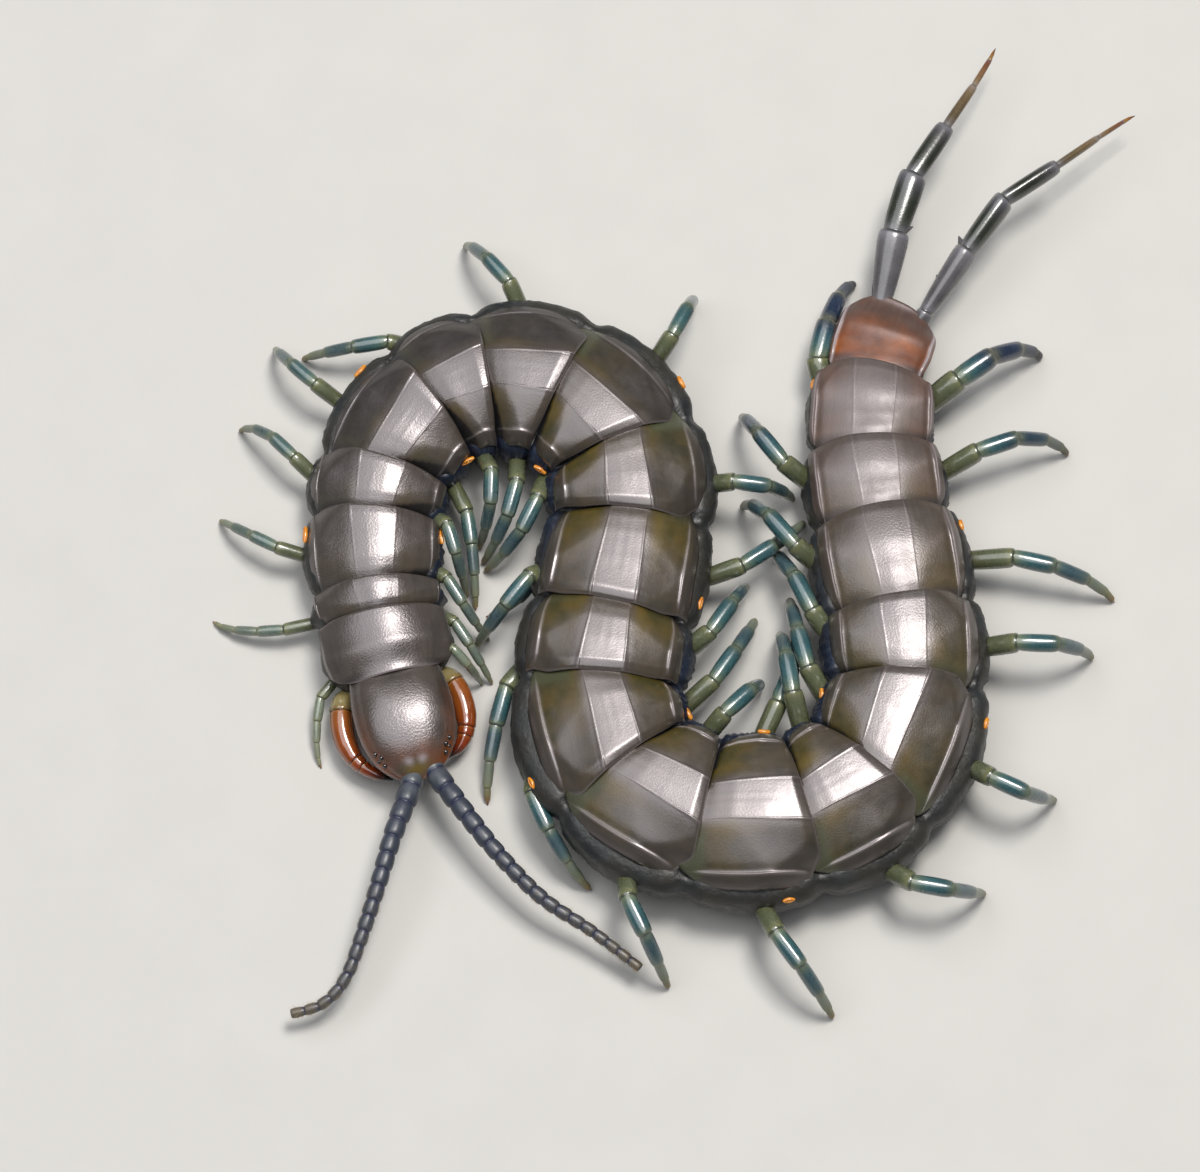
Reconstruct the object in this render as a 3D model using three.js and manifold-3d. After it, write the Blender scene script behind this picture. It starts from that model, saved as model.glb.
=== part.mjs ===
// A giant centipede, life size, resting in a loose S on flat ground.
// Millimetres, +Z up. Z = 0 is the ground under the claws.
// The trunk is a loft of cross-sections along the spine, the line of the mid-back seen from above.
// Left and right are the animal's own.

import * as THREE from 'three';
import Module from 'manifold-3d';
import { mergeVertices } from 'three/addons/utils/BufferGeometryUtils.js';

const wasm = await Module();
wasm.setup();

// Driving dimensions

const footprintMiddle = [4, 3.9]; // middle of the ground the animal covers, in the spine's own grid
const nodeGap = 0.3; // clear space between neighbouring pieces
const bellyHeight = 0.5; // the belly's clearance over the ground
const heightPerHalfWidth = 1.17; // height of the trunk over its half width

// Guide points of the spine, a smooth B-spline from the back of the head to the last back plate.
const spineGuides = [
  [-8.7, -10.9], [-10.2, -4.9], [-12, 2.5], [-10.2, 10.3], [-2.7, 12.1],
  [2.5, 7.2], [0.7, -1], [-0.9, -8.7], [4.6, -13], [13, -11.9],
  [15.9, -6.2], [14.5, 1.7], [13.2, 8.6], [14.5, 15.4], [19.4, 22.3],
];
const spineSamples = 1200;

// Length of each back plate and half width of the trunk under it, head to tail.
const plateLengths = [
  3.1, 1.7, 3.7, 2.7, 4.2, 3.1, 4, 4.4, 4, 5, 3.8, 4.8, 4.7, 5, 4.1, 5.2, 4, 5, 3.9, 4.2, 3.8,
];
const halfWidths = [
  3.2, 3.3, 3.4, 3.5, 3.65, 3.95, 4.25, 4.35, 4.3, 4.3, 4.4,
  4.4, 4.45, 4.5, 4.4, 4.25, 4.15, 4, 3.55, 3.1, 2.6,
];
const headEndHalfWidth = 2.85;
const tailEndHalfWidth = 2;

// Half of a cross-section, from the mid-back down the flank to the mid-belly:
// share of the half width, share of the height. The first points are the back plate.
const section = [
  [0, 0.995], [0.14, 0.985], [0.2, 1], [0.42, 0.965], [0.62, 0.915], [0.755, 0.85],
  [0.765, 0.785], [0.9, 0.68], [1, 0.48], [0.95, 0.25], [0.74, 0.08], [0.5, 0.015], [0, 0],
];
const platePoints = 7;

// Shape of one segment at five places along it. lift raises the back plate, in millimetres;
// spread widens the plate and swell widens the flank, as shares of their width.
const segmentShape = [
  { along: 0, lift: -0.26, spread: 0.88, swell: 0.94 },
  { along: 0.26, lift: -0.08, spread: 0.97, swell: 0.985 },
  { along: 0.55, lift: 0, spread: 1, swell: 1.01 },
  { along: 0.82, lift: 0.04, spread: 1, swell: 1 },
  { along: 1, lift: 0.04, spread: 0.94, swell: 0.95 },
];
const trunkPieces = [
  [1, 1], [2, 3], [4, 5], [6, 7], [8, 9], [10, 11], [12, 13], [14, 15], [16, 17], [18, 19], [20, 21],
];
const tailCap = [
  { behind: 0.25, share: 0.86 },
  { behind: 0.5, share: 0.55 },
];

// The head, at places ahead of the first back plate.
const headShape = [
  { ahead: 0.15, half: 2, top: 3.7, bottom: 1.95 },
  { ahead: 0.7, half: 2.3, top: 3.95, bottom: 1.9 },
  { ahead: 1.8, half: 2.48, top: 4.1, bottom: 1.88 },
  { ahead: 3, half: 2.42, top: 4, bottom: 1.88 },
  { ahead: 4, half: 2.15, top: 3.75, bottom: 1.9 },
  { ahead: 4.7, half: 1.75, top: 3.4, bottom: 1.95 },
  { ahead: 5.2, half: 1.2, top: 3.05, bottom: 2.05 },
  { ahead: 5.5, half: 0.6, top: 2.75, bottom: 2.2 },
];
const headSection = [
  [0, 1], [0.3, 0.985], [0.6, 0.9], [0.85, 0.73], [1, 0.5], [0.96, 0.38], [0.82, 0.15], [0.45, 0.02], [0, 0],
];
const ocelli = [
  { ahead: 3.95, share: 0.95, up: 0.68 },
  { ahead: 4.25, share: 0.9, up: 0.8 },
  { ahead: 4.3, share: 0.98, up: 0.6 },
  { ahead: 4.6, share: 0.95, up: 0.72 },
];
const ocellusRadius = 0.17;
const ocellusSunk = 0.95; // share of the head's outline at which an ocellus has its middle

// The plate under the head that carries the forcipules.
const coxosterniteShape = [
  { ahead: 0.15, half: 2.35, top: 1.55, bottom: 0.6 },
  { ahead: 1.2, half: 2.3, top: 1.55, bottom: 0.55 },
  { ahead: 2.6, half: 1.8, top: 1.5, bottom: 0.6 },
  { ahead: 3.3, half: 1.35, top: 1.45, bottom: 0.75 },
  { ahead: 3.7, half: 0.7, top: 1.35, bottom: 0.95 },
];

// Forcipules: guide points [x, y, z] and the radius at each.
const forcipules = {
  left: {
    guides: [[-8.9, -4.4, 1.1], [-7.6, -4.3, 1.25], [-7, -5.2, 1.35], [-6.7, -6.3, 1.35], [-6.75, -7.3, 1.3],
      [-7.1, -8, 1.2], [-7.7, -8.5, 1.15]],
    radii: [0.55, 0.6, 0.62, 0.55, 0.42, 0.28, 0.08],
  },
  right: {
    guides: [[-11.6, -5.2, 1.1], [-12.75, -5.5, 1.25], [-12.9, -6.6, 1.35], [-12.6, -7.9, 1.35],
      [-12, -8.8, 1.3], [-11, -9.4, 1.2], [-10.3, -9.6, 1.15]],
    radii: [0.55, 0.6, 0.62, 0.58, 0.42, 0.28, 0.08],
  },
};
const forcipuleSides = 8;

// Antennae: guide points [x, y, z], number of articles, radius at the base and the tip.
const antennae = {
  left: {
    guides: [[-8.6, -8.6, 2.6], [-8.15, -9.6, 2.7], [-6.8, -11.7, 2.9], [-5.1, -13.9, 2.8],
      [-2.8, -16.2, 2.4], [-0.4, -17.7, 1.9], [2, -19.5, 1.5]],
    articles: 19,
  },
  right: {
    guides: [[-9.2, -9.3, 2.6], [-9.35, -10.5, 2.7], [-10.15, -12.8, 2.9], [-11, -15.8, 2.7],
      [-11.8, -18.3, 2.3], [-12.6, -20.3, 1.9], [-13.7, -21.4, 1.6], [-15.2, -21.8, 1.4]],
    articles: 18,
  },
};
const antennaBaseRadius = 0.68;
const antennaTipRadius = 0.25;
const antennaTaper = 0.75; // below 1, the antenna narrows fastest near its base
const articleCrowding = 0.85; // below 1, its articles get shorter towards the tip
const antennaSides = 6;
const articleWaist = 0.78; // width at an article's ends, as a share of its widest
const articleWidest = 0.62; // where along the article it is widest

// How each walking leg stands, front to back: the angle it is swung forward from square to the body,
// in degrees, the level distance from its root to its claw, and how far its middle bows sideways,
// to the front of a leg that stands square.
const stance = {
  left: [
    [56, 2.5, 0.3], [65, 4.7, 0.1], [58, 4.7, 0.4], [62, 4.2, 0.1], [51, 6.8, -0.2],
    [27, 4.2, -0.6], [12, 5.2, -0.8], [-15, 5.4, -1.1], [-55, 6.6, -1.6], [-60, 5.4, -0.5],
    [-87, 8.2, 0.4], [-106, 7.5, 0.8], [-57, 5.9, 0.3], [-36, 6.4, 0.3], [-57, 5.2, 1.1],
    [-2, 4.4, 1.4], [3, 5.7, 0.5], [23, 7.9, -0.3], [-10, 7, -0.6], [-37, 7.2, -0.6],
  ],
  right: [
    [72, 4.8, -0.4], [-15, 5.4, 0.7], [-34, 5.5, 0.4], [-34, 5.5, -0.4], [-15, 5.3, 0.6],
    [72, 6.5, 0.5], [45, 5.8, 0.2], [22, 4.8, -0.4], [-7, 4.3, -0.7], [50, 6.7, -0.8],
    [68, 5.8, -0.4], [47, 7, -0.5], [-12, 4.5, -0.6], [-18, 7.7, -0.9], [-21, 6.1, 0.1],
    [-59, 6.9, 0.3], [-68, 7.2, -0.3], [-62, 6, 0.1], [-63, 5.9, 0.6], [-103, 8, 0.6],
  ],
};
const frontLegLength = 5.2;
const rearLegLength = 9.4;
const legGrowth = 5; // segments over which the legs grow towards the rear length
const legRoot = { along: 0.5, side: 0.93, height: 0.24, depth: 0.9 };
const archShares = [0.3, 0.85]; // where the arch's two control points stand between root and claw
const highestKnee = 4.8;
const archTrials = 20;
const clawSink = 0.06; // the claw's axis ends this far below the ground, and the ground cuts it flat

// Articles of a walking leg: where each ends, as a share of the leg, and its radii at both ends.
const legArticles = [
  { end: 0.27, from: 0.45, to: 0.5 },
  { end: 0.51, from: 0.42, to: 0.41 },
  { end: 0.73, from: 0.35, to: 0.31 },
  { end: 0.885, from: 0.26, to: 0.22 },
  { end: 0.965, from: 0.2, to: 0.15 },
  { end: 1, from: 0.12, to: 0.06 },
];
const fullSizeLeg = 9; // the leg length at which the radii above hold
const legSides = 6;
const stoutSegment = 20; // its legs are stouter than those in front of them
const stoutness = 1.25;
const jointStep = 0.012; // half the length of the step at a joint, as a share of the leg
const lastStepJoint = 0.8; // past this share of the leg its articles run into each other smoothly

// The last pair of legs, trailed behind: guide points [x, y, z] from the root to the tip, and the
// shares of its radii across and up. They are flattened, and the left leg lies on its edge.
const ultimateLegs = {
  left: [[15.9, 14.1, 1.9], [16.6, 15.2, 2.2], [18.7, 18.2, 3], [20.6, 20.8, 3.4], [23.3, 22.7, 3.3],
    [25.5, 24.5, 2.8], [26.9, 25.6, 2.4], [27.5, 26, 2.2]],
  right: [[14.1, 14.4, 1.9], [14.3, 15.7, 2.2], [15, 19.2, 3], [16, 22.2, 3.4], [17.7, 24.9, 3.3],
    [19.2, 27.4, 2.8], [20.1, 29.1, 2.4], [20.4, 29.8, 2.2]],
};
const ultimateArticles = [
  { from: 0.5, to: 0.58 },
  { from: 0.58, to: 0.82 },
  { from: 0.7, to: 0.73 },
  { from: 0.56, to: 0.5 },
  { from: 0.28, to: 0.22 },
  { from: 0.18, to: 0.13 },
  { from: 0.11, to: 0.04 },
];
const ultimateFlatness = { left: [0.78, 1], right: [1, 0.78] };
const ultimateSides = 8;
const ultimateStep = 0.04; // half the length of the step at a joint, as a share of the article
const spineRadii = [0.3, 0.22, 0.04];
const spineSides = 5;
const spineLean = 0.7; // how far a spine leans to the leg's tip
const ultimateSpines = [
  { article: 1, along: 0.38, length: 0.3 },
  { article: 1, along: 0.95, length: 0.5 },
];

// Finishes

function finish(color, roughness) {
  return new THREE.MeshStandardMaterial({ color, roughness, metalness: 0 });
}

const finishes = {
  plate: () => finish(0x4b4650, 0.28),
  head: () => finish(0x54443f, 0.25),
  forcipule: () => finish(0x8a3a12, 0.2),
  antenna: () => finish(0x4a5464, 0.45),
  leg: () => finish(0x4f6460, 0.3),
  ultimate: () => finish(0x35383a, 0.3),
};

// The spine

// A point on the B-spline, with t from 0 to the number of its spans.
function guidePoint(guides, t) {
  const span = Math.min(Math.floor(t), guides.length - 4);
  const w = t - span;
  const weights = [
    (1 - w) ** 3,
    3 * w ** 3 - 6 * w ** 2 + 4,
    -3 * w ** 3 + 3 * w ** 2 + 3 * w + 1,
    w ** 3,
  ];
  const point = new THREE.Vector3();
  weights.forEach((weight, i) => {
    point.x += guides[span + i][0] * weight / 6;
    point.y += guides[span + i][1] * weight / 6;
  });
  return point;
}

const spinePoints = [];
const spineDistances = [0];
for (let i = 0; i <= spineSamples; i++) {
  spinePoints.push(guidePoint(spineGuides, (spineGuides.length - 3) * i / spineSamples));
  if (i > 0) {
    spineDistances.push(spineDistances[i - 1] + spinePoints[i].distanceTo(spinePoints[i - 1]));
  }
}

// The spine's point at a distance behind the head, with the directions to the tail and to the left.
function spineFrame(distance) {
  let i = spineDistances.findIndex((value) => value >= distance);
  if (i < 0) {
    i = spineSamples;
  }
  i = Math.max(i, 1);
  const start = spinePoints[i - 1];
  const tailward = spinePoints[i].clone().sub(start).normalize();
  const left = new THREE.Vector3(tailward.y, -tailward.x, 0);
  const centre = start.clone().addScaledVector(tailward, distance - spineDistances[i - 1]);
  return { centre, tailward, left };
}

const plateEdges = [0];
plateLengths.forEach((length, i) => plateEdges.push(plateEdges[i] + length));

// Half width of the trunk at a distance along the spine, before the swell of each segment.
function halfWidthAt(distance) {
  const places = [0];
  const widths = [headEndHalfWidth];
  plateLengths.forEach((length, i) => {
    places.push(plateEdges[i] + length / 2);
    widths.push(halfWidths[i]);
  });
  places.push(plateEdges[plateLengths.length]);
  widths.push(tailEndHalfWidth);
  let i = places.findIndex((place) => place >= distance);
  if (i < 0) {
    i = places.length - 1;
  }
  i = Math.max(i, 1);
  const share = THREE.MathUtils.smoothstep(distance, places[i - 1], places[i]);
  return THREE.MathUtils.lerp(widths[i - 1], widths[i], share);
}

// Solids

// A closed skin over a row of rings that all have the same number of points.
function loft(rings) {
  const count = rings[0].length;
  const points = rings.flat();
  const triangles = [];
  for (let ring = 0; ring < rings.length - 1; ring++) {
    for (let i = 0; i < count; i++) {
      const here = ring * count + i;
      const next = ring * count + (i + 1) % count;
      triangles.push([here, here + count, next]);
      triangles.push([next, here + count, next + count]);
    }
  }
  const middleOf = (ring) => {
    const middle = new THREE.Vector3();
    ring.forEach((point) => middle.addScaledVector(point, 1 / count));
    return middle;
  };
  const lastRing = (rings.length - 1) * count;
  points.push(middleOf(rings[0]), middleOf(rings[rings.length - 1]));
  for (let i = 0; i < count; i++) {
    const next = (i + 1) % count;
    triangles.push([points.length - 2, i, next]);
    triangles.push([points.length - 1, lastRing + next, lastRing + i]);
  }
  let volume = 0;
  triangles.forEach(([a, b, c]) => {
    volume += points[a].dot(points[b].clone().cross(points[c]));
  });
  if (volume < 0) {
    triangles.forEach((triangle) => triangle.reverse());
  }
  const vertProperties = new Float32Array(points.flatMap((point) => point.toArray()));
  const triVerts = new Uint32Array(triangles.flat());
  return new wasm.Manifold(new wasm.Mesh({ numProp: 3, vertProperties, triVerts }));
}

function solidOf(geometry) {
  geometry.deleteAttribute('normal');
  geometry.deleteAttribute('uv');
  const merged = mergeVertices(geometry);
  const vertProperties = new Float32Array(merged.attributes.position.array);
  const triVerts = new Uint32Array(merged.index.array);
  return new wasm.Manifold(new wasm.Mesh({ numProp: 3, vertProperties, triVerts }));
}

// Both halves of a ring from its right-hand half, moved outward by grow along the outline's normal.
function fullRing(half, grow) {
  const mirrored = half.slice(1, -1).reverse().map(([across, up]) => [-across, up]);
  const ring = [...half, ...mirrored];
  return ring.map(([across, up], i) => {
    const before = ring[(i + ring.length - 1) % ring.length];
    const after = ring[(i + 1) % ring.length];
    const along = new THREE.Vector2(after[0] - before[0], after[1] - before[1]).normalize();
    return [across - along.y * grow, up + along.x * grow];
  });
}

function placeRing(ring, frame, shift) {
  return ring.map(([across, up]) => frame.centre.clone()
    .addScaledVector(frame.left, across)
    .addScaledVector(frame.tailward, shift)
    .setZ(up));
}

// The cross-section of the trunk at one place of one segment.
function trunkRing(segment, shape, grow) {
  const first = plateEdges[segment];
  const distance = first + shape.along * plateLengths[segment];
  const halfWidth = halfWidthAt(distance);
  const height = halfWidth * heightPerHalfWidth;
  const overlapsHead = segment === 0 && shape.along === 0;
  const lift = overlapsHead ? 0 : shape.lift;
  const half = section.map(([across, up], i) => {
    const isPlate = i < platePoints;
    const width = halfWidth * (isPlate ? shape.spread : shape.swell);
    return [across * width, bellyHeight + up * height + (isPlate ? lift : 0)];
  });
  let shift = 0;
  if (shape.along === 0) {
    shift = nodeGap / 2;
  }
  if (shape.along === 1) {
    shift = -nodeGap / 2;
  }
  return placeRing(fullRing(half, grow), spineFrame(distance), shift);
}

// Rounded end behind the last back plate.
function tailRings(grow) {
  const last = plateLengths.length - 1;
  const distance = plateEdges[last + 1];
  const halfWidth = halfWidthAt(distance);
  const height = halfWidth * heightPerHalfWidth;
  return tailCap.map(({ behind, share }) => {
    const half = section.map(([across, up]) => [
      across * halfWidth * share,
      bellyHeight + height * (0.5 + (up - 0.5) * share),
    ]);
    return placeRing(fullRing(half, grow), spineFrame(distance), behind + grow);
  });
}

function trunkSolid(firstSegment, lastSegment, grow) {
  const rings = [];
  for (let segment = firstSegment - 1; segment < lastSegment; segment++) {
    segmentShape.forEach((shape) => rings.push(trunkRing(segment, shape, grow)));
  }
  if (grow > 0) {
    const frame = spineFrame(plateEdges[firstSegment - 1]);
    rings.unshift(rings[0].map((point) => point.clone().addScaledVector(frame.tailward, -grow)));
  }
  if (lastSegment === plateLengths.length) {
    rings.push(...tailRings(grow));
  }
  return loft(rings);
}

// A block ahead of the trunk, such as the head, from its list of sizes.
function frontSolid(shapes, grow) {
  const frame = spineFrame(0);
  const rings = shapes.map(({ ahead, half, top, bottom }) => {
    const outline = headSection.map(([across, up]) => [across * half, bottom + up * (top - bottom)]);
    return placeRing(fullRing(outline, grow), frame, -ahead);
  });
  if (grow > 0) {
    rings.unshift(rings[0].map((point) => point.clone().addScaledVector(frame.tailward, grow)));
    rings.push(rings[rings.length - 1].map((point) => point.clone().addScaledVector(frame.tailward, -grow)));
  }
  return loft(rings);
}

// A limb through the points, with a radius at each of them. flatness holds the shares of the
// radius across and up. Rings closer together than their radius, as at a joint, lie parallel.
function limb(points, radii, sides, flatness = [1, 1]) {
  const last = points.length - 1;
  const isClose = (i, j) => points[i].distanceTo(points[j]) < radii[i];
  const rings = points.map((point, i) => {
    let before = Math.max(i - 1, 0);
    let after = Math.min(i + 1, last);
    if (before > 0 && isClose(i, before)) {
      before -= 1;
    }
    if (after < last && isClose(i, after)) {
      after += 1;
    }
    const along = points[after].clone().sub(points[before]).normalize();
    const across = new THREE.Vector3(0, 0, 1).cross(along).normalize();
    const over = along.clone().cross(across);
    const ring = [];
    for (let side = 0; side < sides; side++) {
      const angle = 2 * Math.PI * side / sides;
      ring.push(point.clone()
        .addScaledVector(across, radii[i] * flatness[0] * Math.cos(angle))
        .addScaledVector(over, radii[i] * flatness[1] * Math.sin(angle)));
    }
    return ring;
  });
  return loft(rings);
}

// Body parts

const trunkClearance = trunkSolid(1, plateLengths.length, nodeGap);
const headClearance = frontSolid(headShape, nodeGap);
const coxosterniteClearance = frontSolid(coxosterniteShape, nodeGap);
const groundSize = 200;
const ground = solidOf(new THREE.BoxGeometry(groundSize, groundSize, groundSize))
  .translate([0, 0, -groundSize / 2]);

function headSolid() {
  const frame = spineFrame(0);
  let head = frontSolid(headShape, 0);
  ocelli.forEach(({ ahead, share, up }) => {
    const after = headShape.findIndex((shape) => shape.ahead >= ahead);
    const a = headShape[after - 1];
    const b = headShape[after];
    const mix = (ahead - a.ahead) / (b.ahead - a.ahead);
    const half = THREE.MathUtils.lerp(a.half, b.half, mix);
    const bottom = THREE.MathUtils.lerp(a.bottom, b.bottom, mix);
    const top = THREE.MathUtils.lerp(a.top, b.top, mix);
    for (const side of [-1, 1]) {
      const place = frame.centre.clone()
        .addScaledVector(frame.tailward, -ahead)
        .addScaledVector(frame.left, side * half * share * ocellusSunk)
        .setZ(bottom + (top - bottom) * up);
      const eye = solidOf(new THREE.IcosahedronGeometry(ocellusRadius)).translate(place.toArray());
      head = head.add(eye);
    }
  });
  return head;
}

function antennaSolid({ guides, articles }) {
  const path = new THREE.CatmullRomCurve3(guides.map((guide) => new THREE.Vector3(...guide)));
  const points = [];
  const radii = [];
  const widthAt = (share) => THREE.MathUtils.lerp(antennaBaseRadius, antennaTipRadius, share ** antennaTaper);
  for (let article = 0; article < articles; article++) {
    const start = (article / articles) ** articleCrowding;
    const end = ((article + 1) / articles) ** articleCrowding;
    points.push(path.getPointAt(start));
    radii.push(widthAt(start) * articleWaist);
    const widest = THREE.MathUtils.lerp(start, end, articleWidest);
    points.push(path.getPointAt(widest));
    radii.push(widthAt(widest));
  }
  points.push(path.getPointAt(1));
  radii.push(antennaTipRadius / 2);
  return limb(points, radii, antennaSides).subtract(headClearance);
}

function forcipuleSolid({ guides, radii }) {
  const points = guides.map((guide) => new THREE.Vector3(...guide));
  return limb(points, radii, forcipuleSides)
    .subtract(coxosterniteClearance)
    .subtract(headClearance)
    .subtract(trunkClearance);
}

// The root of a leg on the flank of its segment, with the directions outward and forward.
function rootOf(segment, side) {
  const distance = plateEdges[segment] + legRoot.along * plateLengths[segment];
  const frame = spineFrame(distance);
  const halfWidth = halfWidthAt(distance);
  const outward = frame.left.clone().multiplyScalar(side);
  const forward = frame.tailward.clone().negate();
  const root = frame.centre.clone()
    .addScaledVector(outward, halfWidth * legRoot.side)
    .setZ(bellyHeight + legRoot.height * halfWidth * heightPerHalfWidth);
  return { root, outward, forward };
}

// The leg's arch from root to claw, raised until it is as long as the leg.
function legArch(root, claw, bow, length) {
  const arch = (rise) => {
    const lift = new THREE.Vector3(0, 0, rise);
    const nearRoot = root.clone().lerp(claw, archShares[0]).add(bow).add(lift);
    const nearClaw = root.clone().lerp(claw, archShares[1]).add(bow).add(lift);
    return new THREE.CubicBezierCurve3(root, nearRoot, nearClaw, claw);
  };
  let low = 0;
  let high = highestKnee;
  for (let trial = 0; trial < archTrials; trial++) {
    const middle = (low + high) / 2;
    if (arch(middle).getLength() < length) {
      low = middle;
    } else {
      high = middle;
    }
  }
  return arch(high);
}

function legSolid(segment, side, [swing, reach, bow]) {
  const { root, outward, forward } = rootOf(segment, side);
  const angle = THREE.MathUtils.degToRad(swing);
  const level = outward.clone().multiplyScalar(Math.cos(angle)).addScaledVector(forward, Math.sin(angle));
  const claw = root.clone().addScaledVector(level, reach).setZ(-clawSink);
  const length = rearLegLength - (rearLegLength - frontLegLength) * Math.exp(-segment / legGrowth);
  const across = outward.clone().multiplyScalar(-Math.sin(angle)).addScaledVector(forward, Math.cos(angle));
  const bend = across.multiplyScalar(bow * 4 / 3);
  const arch = legArch(root, claw, bend, length);
  const size = length / fullSizeLeg * (segment + 1 === stoutSegment ? stoutness : 1);
  const inside = root.clone().addScaledVector(outward, -legRoot.depth);
  const points = [inside];
  const radii = [legArticles[0].from * size];
  let start = 0;
  legArticles.forEach(({ end, from, to }) => {
    if (start < lastStepJoint) {
      points.push(arch.getPointAt(start + jointStep));
      radii.push(from * size);
    }
    points.push(arch.getPointAt(Math.min(end + (start < lastStepJoint ? -jointStep : 0), 1)));
    radii.push(to * size);
    start = end;
  });
  return limb(points, radii, legSides).subtract(trunkClearance).subtract(ground);
}

function ultimateLegSolid(sideName, side) {
  const points = [];
  const radii = [];
  const places = ultimateLegs[sideName].map((guide) => new THREE.Vector3(...guide));
  ultimateArticles.forEach(({ from, to }, i) => {
    points.push(places[i].clone().lerp(places[i + 1], ultimateStep));
    points.push(places[i].clone().lerp(places[i + 1], 1 - ultimateStep));
    radii.push(from, to);
  });
  const flatness = ultimateFlatness[sideName];
  let leg = limb(points, radii, ultimateSides, flatness);
  ultimateSpines.forEach(({ article, along, length }) => {
    const base = places[article].clone().lerp(places[article + 1], along);
    const direction = places[article + 1].clone().sub(places[article]).normalize();
    const inward = new THREE.Vector3(0, 0, side).cross(direction).normalize();
    const lean = inward.clone().addScaledVector(direction, spineLean).normalize();
    const reach = ultimateArticles[article].from * flatness[0] + length;
    const tip = base.clone().addScaledVector(lean, reach);
    leg = leg.add(limb([base, base.clone().lerp(tip, 0.5), tip], spineRadii, spineSides));
  });
  return leg.subtract(trunkClearance);
}

// The node's mesh, made of the largest closed surface of its solid.
function node(name, solid, material) {
  const pieces = solid.decompose();
  pieces.sort((a, b) => b.volume() - a.volume());
  const { vertProperties, triVerts, numProp } = pieces[0].getMesh();
  const position = new Float32Array(vertProperties.length / numProp * 3);
  for (let i = 0; i < position.length / 3; i++) {
    position.set(vertProperties.subarray(i * numProp, i * numProp + 3), i * 3);
  }
  const geometry = new THREE.BufferGeometry();
  geometry.setAttribute('position', new THREE.BufferAttribute(position, 3));
  geometry.setIndex(new THREE.BufferAttribute(new Uint32Array(triVerts), 1));
  geometry.computeVertexNormals();
  const mesh = new THREE.Mesh(geometry, material);
  mesh.name = name;
  return mesh;
}

const centipede = new THREE.Group();
centipede.position.set(-footprintMiddle[0], -footprintMiddle[1], 0);

centipede.add(node('head', headSolid(), finishes.head()));
centipede.add(node('coxosternite', frontSolid(coxosterniteShape, 0), finishes.forcipule()));

trunkPieces.forEach(([first, last]) => {
  const name = `trunk_${String(first).padStart(2, '0')}_${String(last).padStart(2, '0')}`;
  centipede.add(node(name, trunkSolid(first, last, 0), finishes.plate()));
});

for (const sideName of ['left', 'right']) {
  const side = sideName === 'left' ? 1 : -1;
  centipede.add(node(`antenna_${sideName}`, antennaSolid(antennae[sideName]), finishes.antenna()));
  centipede.add(node(`forcipule_${sideName}`, forcipuleSolid(forcipules[sideName]), finishes.forcipule()));
  stance[sideName].forEach((pose, segment) => {
    const name = `leg_${String(segment + 1).padStart(2, '0')}_${sideName}`;
    centipede.add(node(name, legSolid(segment, side, pose), finishes.leg()));
  });
  centipede.add(node(`leg_21_${sideName}`, ultimateLegSolid(sideName, side), finishes.ultimate()));
}

export default centipede;
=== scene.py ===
import math
import random
from types import SimpleNamespace

import bmesh
import bpy
import numpy as np
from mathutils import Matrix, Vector, noise


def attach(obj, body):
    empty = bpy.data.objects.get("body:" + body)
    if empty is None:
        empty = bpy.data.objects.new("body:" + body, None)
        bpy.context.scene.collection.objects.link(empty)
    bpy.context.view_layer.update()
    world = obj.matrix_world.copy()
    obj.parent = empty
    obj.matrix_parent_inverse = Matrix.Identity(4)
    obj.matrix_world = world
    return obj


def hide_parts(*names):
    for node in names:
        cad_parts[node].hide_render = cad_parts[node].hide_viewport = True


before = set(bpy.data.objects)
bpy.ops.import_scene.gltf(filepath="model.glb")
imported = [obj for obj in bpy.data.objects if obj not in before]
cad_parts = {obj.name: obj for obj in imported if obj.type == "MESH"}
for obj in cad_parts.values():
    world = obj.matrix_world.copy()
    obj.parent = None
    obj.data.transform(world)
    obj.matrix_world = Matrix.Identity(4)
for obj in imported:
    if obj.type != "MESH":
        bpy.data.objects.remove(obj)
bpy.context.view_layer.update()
print("frame loaded:", len(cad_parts), "nodes")

# All lengths below are millimetres in the spine's own grid; makePiece turns them into metres.
# Along a segment and along a limb, places are shares from 0 to 1. Left and right are the animal's own.

pose = {
    "footprintMiddle": (4, 3.9),
    "bellyHeight": 0.5,
    "heightPerHalfWidth": 1.17,
    "spineGuides": [
        (-8.7, -10.9), (-10.2, -4.9), (-12, 2.5), (-10.2, 10.3), (-2.7, 12.1),
        (2.5, 7.2), (0.7, -1), (-0.9, -8.7), (4.6, -13), (13, -11.9),
        (15.9, -6.2), (14.5, 1.7), (13.2, 8.6), (14.5, 15.4), (19.4, 22.3),
    ],
    "plateLengths": [
        3.1, 1.7, 3.7, 2.7, 4.2, 3.1, 4, 4.4, 4, 5, 3.8, 4.8, 4.7, 5, 4.1, 5.2, 4, 5, 3.9, 4.2, 3.8,
    ],
    "halfWidths": [
        3.2, 3.3, 3.4, 3.5, 3.65, 3.95, 4.25, 4.35, 4.3, 4.3, 4.4,
        4.4, 4.45, 4.5, 4.4, 4.25, 4.15, 4, 3.55, 3.1, 2.6,
    ],
    "headEndHalfWidth": 2.85,
    "tailEndHalfWidth": 2,
}
segmentCount = len(pose["plateLengths"])
sides = {"left": 1, "right": -1}
mm = 0.001
upward = np.array([0, 0, 1.0])


# small tools

def smooth(low, high, value):
    share = np.clip((value - low) / (high - low), 0, 1)
    return share * share * (3 - 2 * share)


def bump(value, middle, width):
    return np.exp(-((value - middle) / width) ** 2)


def unit(vectors):
    return vectors / np.linalg.norm(vectors, axis=-1, keepdims=True)


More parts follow.
